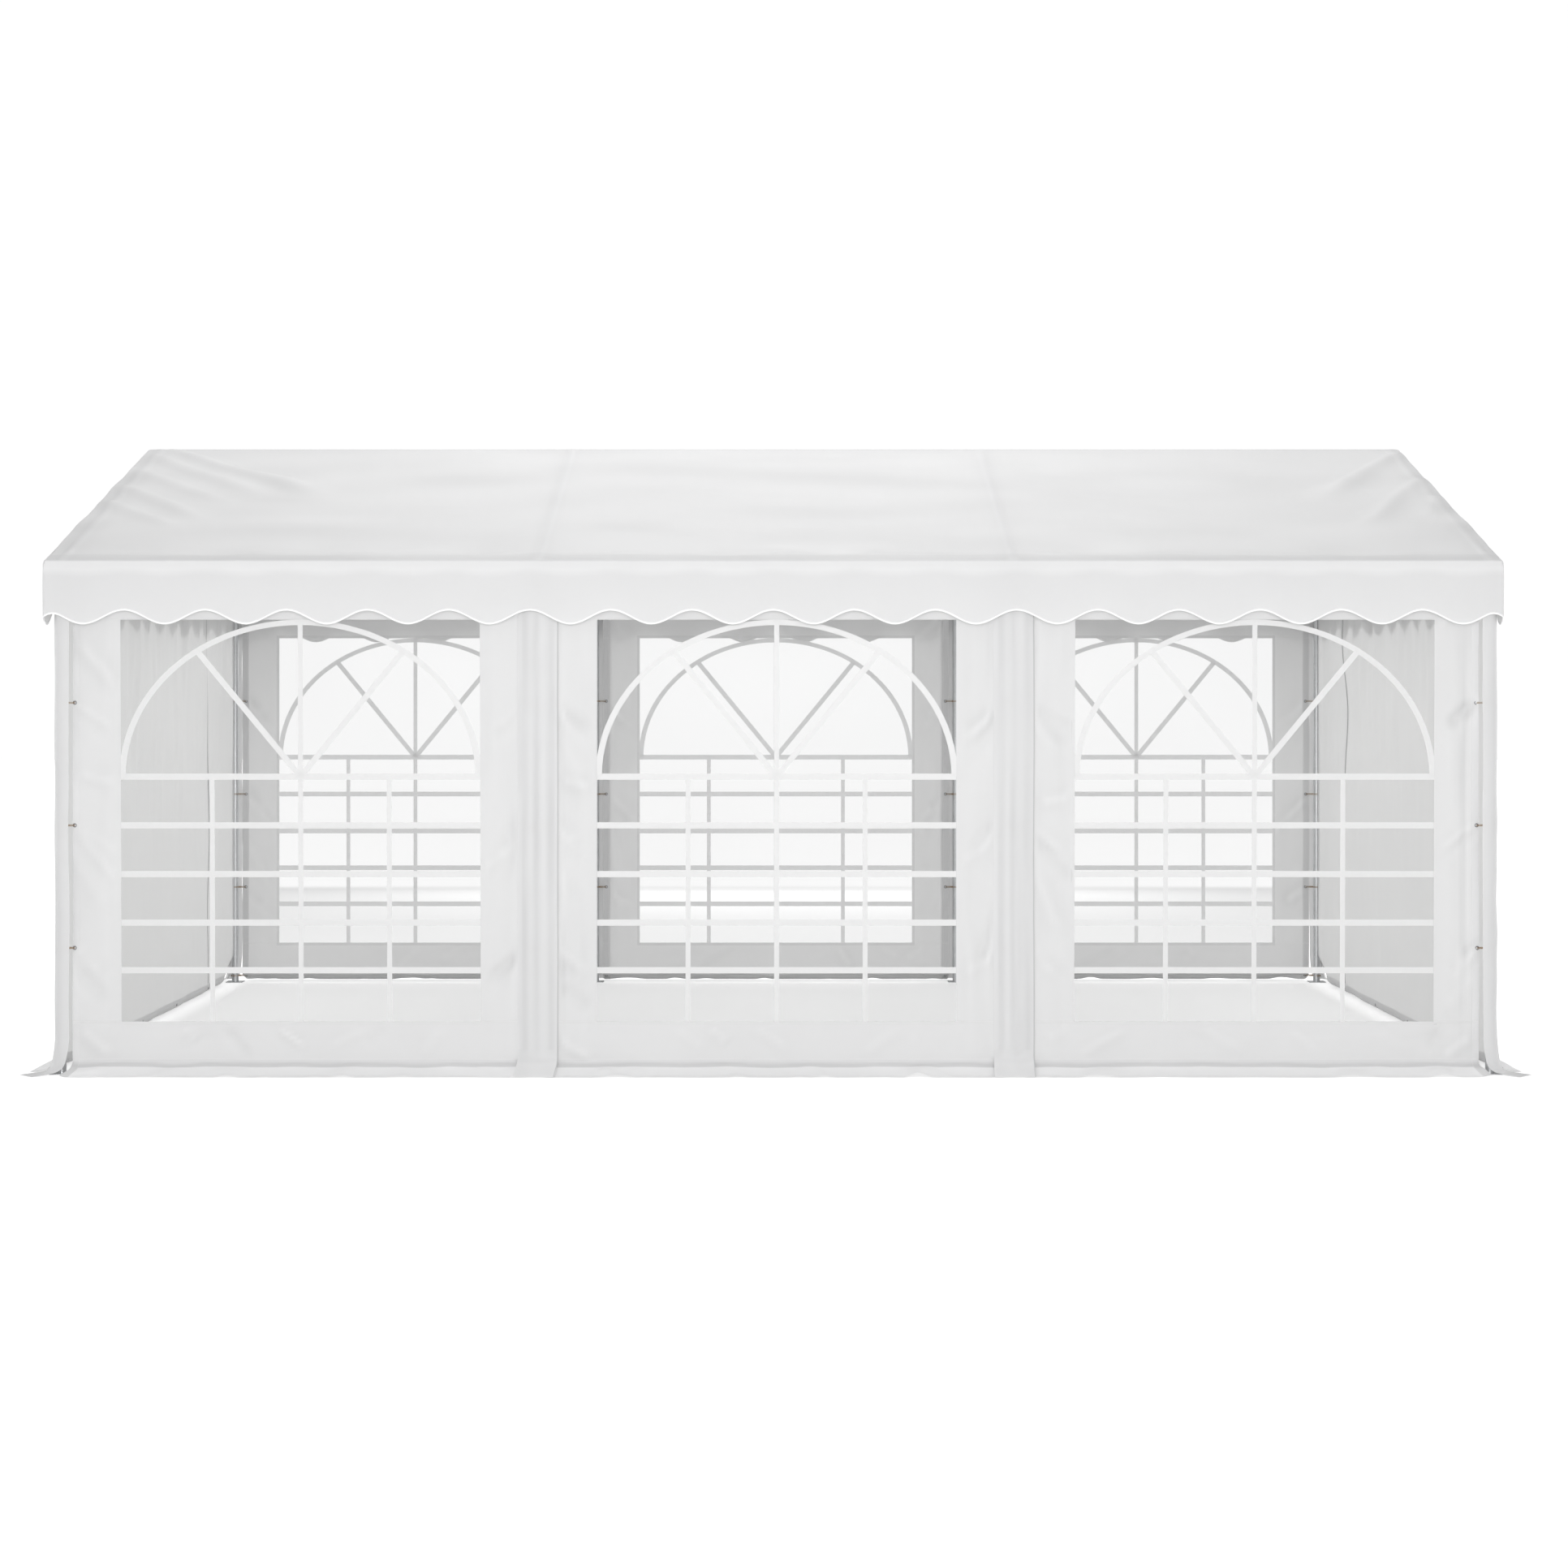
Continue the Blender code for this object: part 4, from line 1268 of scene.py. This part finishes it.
def tieWall(name, centre, sign, seed):
    place = placeWall(name, centre, sign, seed)
    rings, spots = [], []
    for hand in (-1, 1):
        corner = besideCorner(name, hand)
        inset = wall["cornerTieInset"] if sideHalf(name, hand) < wall["half"] else wall["tieInset"]
        x = hand * (sideHalf(name, hand) - inset)
        pole = centre + hand * tent["bay"] / 2
        # no foot tie at the front corners
        for height in wall["tieHeights"][1 if corner and sign < 0 else 0 :]:
            row = height if height > wall["foot"][0][1] else footRow(wallFoot, height)
            found, _ = place(np.array([x]), np.array([row]))
            at = Vector((centre + x, float(found[0][1]), height))
            rings.append(Matrix.Translation(at))
            if corner or height > 0.1:
                spots.append((at, Vector((pole, sign * tent["halfDepth"], height))))
    addPiece(f"eyelets_{name}", scattered(f"eyelets_{name}", eyeletMesh, rings), eyeletFinish)
    addPiece(f"ties_{name}", tieMesh(f"ties_{name}", spots), cordFinish)


for name, centre, sign, seed in wallPanels():
    tieWall(name, centre, sign, seed)


print("hanging the end walls")
endWall = dict(
    half=1.9595,
    top=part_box("end_wall_left")[1].z,
    hem=0.034,
    zip=1.2,
    zipTape=0.016,
    hemBand=0.0215,  # height of its lower edge
    columnStep=0.022,
    step=0.03,
    foot=[
        *((0.000, 0.066), (0.001, 0.052), (0.004, 0.038), (0.014, 0.024)),
        *((0.036, 0.011), (0.075, 0.0045), (0.1475, 0.0018)),
    ],
    pegs=(-1.235, -0.385, 0.385, 1.235),
    pegHeight=0.043,
    pushed=0.044,  # next to the corner flaps the cloth is pushed out
    folds=0.0055,
    waves=0.0060,
    wrinkles=0.0025,
    valanceShadow=-0.11,  # painted shadow of the valance outside, above its scalloped hem
    scallops=(1.87, 1.97),  # finer rows, where the edge of the valance's painted shadow runs
    fineStep=0.008,
)
endFoot = footLine(endWall["foot"])


def placeEnd(sign):
    footTop = endWall["foot"][0][1]

    def place(y, row):
        out, z = onFoot(endFoot, row)
        fromEnd = endWall["half"] - np.abs(y)
        onSkirt = smoothStep(0.03, 0.13, -row)
        pushed = endWall["pushed"] * smoothStep(0.30, 0.02, fromEnd) * smoothStep(0.17, 0.04, z)
        pushed = pushed * (1 - smoothStep(0.07, 0.18, -row))
        wrinkles = endWall["wrinkles"] * (1 + ripples(y, 0 * y, 209 + sign, 6, 0.2, 0.7))
        z = z + onSkirt * wrinkles * smoothStep(0.02, 0.3, fromEnd)
        held = smoothStep(0.0, 0.12, fromEnd) * (1 - onSkirt)
        gathered = 0.25 + 0.75 * smoothStep(0.5, 2.0, z)
        folds = endWall["folds"] * gathered * ripples(y, 0.10 * z, 201 + sign, 10, 0.10, 0.34)
        broad = endWall["waves"] * ripples(y, z, 203 + sign, 8, 0.45, 1.3)
        broad = broad * smoothStep(0.0, 0.3, endWall["top"] - z)
        x = sign * (tent["halfLength"] + out + pushed + (folds + broad) * held)
        points = np.stack([x, y, np.maximum(z, wall["lowest"])], axis=1)
        return points, np.stack([y, np.where(row >= 0, row, row + footTop)], axis=1)

    return place


def makeEndWall(sideName, sign):
    half, hem, tape, top = endWall["half"], endWall["hem"], endWall["zipTape"], endWall["top"]
    footTop = endWall["foot"][0][1]
    low, high = endWall["scallops"]
    middle = sorted(side * endWall["zip"] + edge for side in (-1, 1) for edge in (-tape, tape))
    columns = spaced([-half, -half + hem, *middle, half - hem, half], endWall["columnStep"])
    rows = spaced([footTop, low], endWall["step"])[:-1] + spaced([low, high], endWall["fineStep"])
    rows += spaced([high, top], endWall["step"])[1:]
    bandRow = footRow(endFoot, endWall["hemBand"])
    skirt = spaced([-float(endFoot[0][-1]), bandRow, -0.0001], 0.009)

    def band(y, row):
        if abs(y) > half - hem or bandRow < row < 0 or row > top - hem:
            return 1
        if abs(abs(y) - endWall["zip"]) < tape:
            return 2
        return 3 if row < bandRow else 0

    def shade(y, row):
        # Painted shadow of the valance above its hem line
        valanceHem = hemHeight(y, roof["halfDepth"], roof["endWaves"], -1)
        return endWall["valanceShadow"] * smoothStep(valanceHem - 0.008, valanceHem + 0.008, row)

    name = f"end_wall_{sideName}_cloth"
    mesh = sheetMesh(name, columns, skirt + rows, placeEnd(sign), band=band, shade=shade)
    if sign > 0:
        mesh.flip_normals()
    finishes = [endCloth, hemCloth, hemCloth, skirtLitCloth]
    piece = addPiece(name, mesh, finishes, (f"end_wall_{sideName}",))


zipper = dict(
    coilHalf=0.0032,
    coilHeight=0.0018,
    sides=8,
    low=0.07,
    bevel=0.0012,
    # width, depth and height, how far it stands out, and its height over the zip's foot
    slider=((0.010, 0.006, 0.014), 0.003, 0.026),
    pull=((0.007, 0.0016, 0.030), 0.0065, 0.004),
)


# Coil down the middle of each zip, its slider at the foot, and eyelets for the pegs
def makeZips(sideName, sign):
    place = placeEnd(sign)
    heights = np.array(spaced([zipper["low"], endWall["top"] - 0.01], endWall["step"]))
    section = zipper["coilHalf"], zipper["coilHeight"], zipper["sides"]
    coil, metal = bmesh.new(), bmesh.new()
    metal.loops.layers.uv.new("cloth")
    soft = dict(affect="EDGES", segments=2, profile=0.5, material=-1)
    for hand in (-1, 1):
        path, _ = place(np.full(len(heights), hand * endWall["zip"]), heights)
        across, outward = everywhere((0, 1, 0), path), everywhere((sign, 0, 0), path)
        takeUp(coil, sweptMesh("coil", path, across, outward, *section))
        for size, lift, rise in (zipper["slider"], zipper["pull"]):
            at = Vector(path[0]) + Vector((sign * lift, 0, rise))
            spread = Matrix.Diagonal((size[1], size[0], size[2], 1))
            box = set(bmesh.ops.create_cube(metal, size=1.0, matrix=Matrix.Translation(at) @ spread)["verts"])
            edges = [edge for edge in metal.edges if edge.verts[0] in box]
            width = min(zipper["bevel"], min(size) * 0.4)
            bmesh.ops.bevel(metal, geom=edges, offset=width, **soft)
    addPiece(f"zips_{sideName}", meshOf(coil, f"zips_{sideName}"), coilFinish)
    rings = []
    for peg in endWall["pegs"]:
        at, _ = place(np.array([peg]), np.array([footRow(endFoot, endWall["pegHeight"])]))
        rings.append(Matrix.Translation(at[0]) @ Matrix.Rotation(math.pi / 2, 4, "Z"))
    takeUp(metal, scattered("pegs", eyeletMesh, rings))
    addPiece(f"sliders_{sideName}", meshOf(metal, f"sliders_{sideName}"), eyeletFinish)


for sideName, sign in (("left", -1), ("right", 1)):
    makeEndWall(sideName, sign)
    makeZips(sideName, sign)


print("covering the poles")
strip = dict(
    half=0.0852,
    hang=0.0255,
    edges=(0.0016, 0.0060),  # how far the left and right edges stand off the wall
    foot=[
        *((0.0255, 0.105), (0.0255, 0.080), (0.029, 0.064), (0.045, 0.050)),
        *((0.080, 0.034), (0.125, 0.0165), (0.160, 0.0044)),
    ],
    bands=0.0020,  # upright folds
    waves=0.0015,
    sway=0.0008,
    shadowLine=0.0036,  # width of the painted shadow line along the right edge
    # where upright bands of painted shade run, as shares of the half width
    shadedBands=(-0.60, -0.06, 0.64),
    shadedBandReach=0.17,
)
stripPaintedShading = dict(foot=0.20, leftEdgeLight=0.03, shadedBand=-0.045, shadowLine=-0.30)
stripFoot = footLine(strip["foot"])
shadowLineFrom = strip["half"] - strip["shadowLine"]


def placeStrip(centre, sign, seed):
    def place(x, row):
        out, z = onFoot(stripFoot, row, strip["hang"])
        share = np.abs(x) / strip["half"]
        edge = np.where(x < 0, strip["edges"][0], strip["edges"][1])
        fall = (strip["hang"] - edge) * (np.hypot(share, 0.2) - 0.2) / (math.hypot(1, 0.2) - 0.2)
        fall = fall * smoothStep(0.014, 0.045, z)
        bands = strip["bands"] * smoothStep(0.03, 0.15, z) * ripples(x, 0.02 * z, seed, 6, 0.035, 0.09)
        sway = strip["sway"] * ripples(z, 0 * z, seed + 2, 4, 0.5, 1.4)
        sway = sway * smoothStep(0.0, 0.3, tent["wallTop"] - z) - 0.006 * smoothStep(0.06, 0.0, z)
        soft = strip["waves"] * ripples(x, z, seed + 4, 6, 0.08, 0.3)
        y = tent["halfDepth"] + out - fall + (bands + soft) * (1 - share**4)
        return np.stack([centre + x + sway, sign * y, z], axis=1), np.stack([x, row], axis=1)

    return place


# How much a strip's cloth is painted lighter or darker: painted light on its foot and along its left edge,
# upright bands of painted shade and a painted shadow line along its right edge
def stripTone(x, row):
    foot = stripPaintedShading["foot"] * (1 - smoothStep(-0.085, -0.030, row))
    share = x / strip["half"]
    shadedBands = sum(np.exp(-(((share - middle) / strip["shadedBandReach"]) ** 2)) for middle in strip["shadedBands"])
    folds = stripPaintedShading["leftEdgeLight"] * (share < -0.75) + stripPaintedShading["shadedBand"] * shadedBands
    folds = folds * (1 + 0.5 * ripples(x, 0.15 * row, 330, 6, 0.05, 0.2))
    onLine = smoothStep(shadowLineFrom - 0.001, shadowLineFrom, x)
    return foot + folds * smoothStep(-0.05, 0.10, row) + stripPaintedShading["shadowLine"] * onLine


stripColumns = [*np.linspace(-strip["half"], shadowLineFrom - 0.001, 32), shadowLineFrom, strip["half"]]
stripRows = [-length for length in np.linspace(stripFoot[0][-1], 0, 22)][:-1]
stripRows += spaced([strip["foot"][0][1], tent["wallTop"]], 0.03)
seed = 300
for sideName, sign in (("front", -1), ("back", 1)):
    for hand, centre in zip(("left", "right"), poleCentres[1:3]):
        name, node = f"pole_strip_{sideName}_{hand}", f"pole_cover_{sideName}_{hand}"
        mesh = sheetMesh(name, stripColumns, stripRows, placeStrip(centre, sign, seed), shade=stripTone)
        if sign > 0:
            mesh.flip_normals()
        piece = addPiece(name, mesh, stripCloth, (node,))
        seed += 10


# A flap wraps each corner pole. Its line in plan is outwards from the pole along X and Y.
flap = dict(
    radius=0.030,
    free=0.0355,
    seam=((0.0026, -0.062), (0.0026, -0.085)),
    ground=((0.091, 0.149), (0.167, 0.060)),
    foot=[  # how far the foot has spread towards its line on the ground, at each height
        *((0.00, 0.150), (0.006, 0.100), (0.015, 0.060), (0.021, 0.040)),
        *((0.032, 0.024), (0.058, 0.012), (0.100, 0.006), (0.160, 0.003)),
    ],
    gap=0.017,  # where the turn round the pole starts and ends
    swayU=0.0018,
    swayV=0.0025,
    waves=0.0012,
)
flapFoot = footLine(flap["foot"])


# Length along a flap's line in plan, and its places there
def flapLine():
    radius = flap["radius"]
    line = [(-flap["free"], radius), (-flap["gap"], radius)]
    line += [(radius * math.sin(t), radius * math.cos(t)) for t in np.linspace(0, math.pi / 2, 13)]
    line += [(radius, -flap["gap"]), (radius, -flap["free"])] + list(flap["seam"])
    line = np.array(line)
    length = lengthsAlong(line)
    fine = np.linspace(0, length[-1], 45)
    u, v = (softened(np.interp(fine, length, line[:, axis]), 4) for axis in (0, 1))
    return fine, u, v


flapLength, flapU, flapV = flapLine()


def placeFlap(xSign, ySign, seed):
    def place(along, row):
        share = along / flapLength[-1]
        spread, z = onFoot(flapFoot, row)
        spread = spread / flap["foot"][-1][0]
        (startU, startV), (endU, endV) = flap["ground"]
        u, v = np.interp(along, flapLength, flapU), np.interp(along, flapLength, flapV)
        u = u + (startU + (endU - startU) * share - u) * spread
        v = v + (startV + (endV - startV) * share - v) * spread
        held = smoothStep(0.0, 0.3, tent["wallTop"] - z)
        free = 1 - smoothStep(0.0, 0.7, share)
        u = u + flap["swayU"] * ripples(z, 0 * z, seed, 4, 0.35, 1.1) * held * (1 - share)
        u = u + flap["waves"] * ripples(along * 3, z, seed + 1, 5, 0.15, 0.5) * (1 - spread)
        v = v + flap["swayV"] * ripples(z, along, seed + 2, 4, 0.3, 0.9) * held * free
        points = np.stack([xSign * (tent["halfLength"] + u), ySign * (tent["halfDepth"] + v), z], axis=1)
        return points, np.stack([along, z], axis=1)

    return place


flapRows = spaced([-float(flapFoot[0][-1]), -0.0001], 0.008)
flapRows += spaced([flap["foot"][0][1], tent["wallTop"]], 0.03)
seed = 400
for sideName, ySign in (("front", -1), ("back", 1)):
    for hand, xSign, leg in (("left", -1, 1), ("right", 1, 4)):
        name, node = f"corner_cloth_{sideName}_{hand}", f"corner_flap_{sideName}_{hand}"
        mesh = sheetMesh(name, flapLength, flapRows, placeFlap(xSign, ySign, seed))
        if xSign * ySign < 0:
            mesh.flip_normals()
        piece = addPiece(name, mesh, flapCloth, (node,))
        seed += 10


print("galvanising the tubes")
for nodeName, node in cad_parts.items():
    if not node.hide_render:
        node.data.materials.clear()
        node.data.materials.append(steelFinish)


print("setting the stage")
stage = dict(
    floorSize=60.0,
    floorColours=((0.93, 0.93, 0.93, 1), (0.95, 0.95, 0.95, 1)),
    seen=1.02,  # the backdrop
    dome=0.689,
    floorGlow=0.03,
    floorSeen=0.55,  # glow that only the camera sees, round the tent and under it
    floorUnder=0.26,
    floorBehind=0.07,  # behind the tent, through two windows
    floorFar=0.38,  # the same, past the rear light
    farFrom=(9.95, 10.4),
    camera=(0.0, -14.484, 1.585),
    lens=68.2,
    shift=(0.0052, -0.0559),
)
bm = bmesh.new()
bmesh.ops.create_grid(bm, x_segments=1, y_segments=1, size=stage["floorSize"])
floor = bpy.data.objects.new("floor", meshOf(bm, "floor"))
bpy.context.scene.collection.objects.link(floor)


# From one value to another as what is read goes from low to high
def ramped(tree, value, low, high, first, last):
    span = {"Value": value, "From Min": low, "From Max": high, "To Min": first, "To Max": last}
    return addNode(tree, "MapRange", span).outputs[0]


# The floor glows a little, and more where the camera sees it
floorLook, tree = newMaterial("studioFloor")
place = placeIn(tree)
cloud = addNode(tree, "TexNoise", {"Vector": place, "Scale": 0.7})
paint = mixColours(tree, cloud.outputs["Fac"], *stage["floorColours"])
matte = addNode(tree, "BsdfDiffuse", {"Color": paint})
look = addNode(tree, "LightPath")
parts = addNode(tree, "SeparateXYZ", {0: place}).outputs
inside = []
for axis, half in enumerate((tent["halfLength"], tent["halfDepth"])):
    inside.append(ramped(tree, mathNode(tree, "ABSOLUTE", parts[axis]), half - 0.10, half, 1.0, 0.0))
under = mathNode(tree, "MULTIPLY", *inside)
behind = mathNode(tree, "GREATER_THAN", look.outputs["Transparent Depth"], 1.5)
nearLess, farLess = (stage[key] - stage["floorSeen"] for key in ("floorBehind", "floorFar"))
less = ramped(tree, parts[1], *stage["farFrom"], nearLess, farLess)
outside = mathNode(tree, "MULTIPLY_ADD", behind, less, stage["floorSeen"] - stage["floorGlow"])
toUnder = mathNode(tree, "SUBTRACT", stage["floorUnder"] - stage["floorGlow"], outside)
shown = mathNode(tree, "MULTIPLY_ADD", under, toUnder, outside)
strength = mathNode(tree, "MULTIPLY_ADD", look.outputs["Is Camera Ray"], shown, stage["floorGlow"])
glow = addNode(tree, "Emission", {"Strength": strength})
lit = addNode(tree, "AddShader", {0: matte.outputs[0], 1: glow.outputs[0]})
addNode(tree, "OutputMaterial", {0: lit.outputs[0]})
floor.data.materials.append(floorLook)

world = bpy.data.worlds.new("studio")
bpy.context.scene.world = world
world.use_nodes = True
tree = world.node_tree
tree.nodes.clear()
# A soft white dome; the camera sees it as a plain white backdrop
sky = addNode(tree, "Background", {0: (1, 1, 1, 1), 1: stage["dome"]})
seen = addNode(tree, "Background", {0: (1, 1, 1, 1), 1: stage["seen"]})
ray = addNode(tree, "LightPath")
mix = addNode(tree, "MixShader", {0: ray.outputs["Is Camera Ray"], 1: sky.outputs[0], 2: seen.outputs[0]})
addNode(tree, "OutputWorld", {0: mix.outputs[0]})


def softbox(name, location, target, size, power):
    light = bpy.data.lights.new(name, "AREA")
    light.shape = "RECTANGLE"
    light.size, light.size_y = size
    light.energy = power
    lamp = bpy.data.objects.new(name, light)
    bpy.context.scene.collection.objects.link(lamp)
    lamp.location = location
    lamp.rotation_euler = (Vector(target) - Vector(location)).to_track_quat("-Z", "Y").to_euler()
    lamp.visible_camera = False


softboxes = dict(  # place, what it points at, size and power
    roofLight=((0, 2.0, 7.5), (0, -1.0, 2.4), (5.0, 2.5), 167),
    frontLight=((0, -13, 2.6), (0, -2, 1.3), (7.0, 2.5), 462),
    leftLight=((-9, 0, 2.0), (-3, 0, 1.1), (2.5, 2.5), 104),
    rightLight=((9, 0, 2.0), (3, 0, 1.1), (2.5, 2.5), 105),
    rearLight=((0, 10, 2.2), (0, 2, 1.2), (6.0, 2.5), 99),
)
for name, values in softboxes.items():
    softbox(name, *values)

camera = bpy.data.cameras.new("camera")
camera.lens = stage["lens"]
camera.sensor_width = 36
camera.shift_x, camera.shift_y = stage["shift"]
camera.clip_end = 200
eye = bpy.data.objects.new("camera", camera)
eye.location = stage["camera"]
eye.rotation_euler = (math.pi / 2, 0, 0)
bpy.context.scene.collection.objects.link(eye)
bpy.context.scene.camera = eye
bpy.context.scene.view_settings.view_transform = "Standard"

print("finishing")
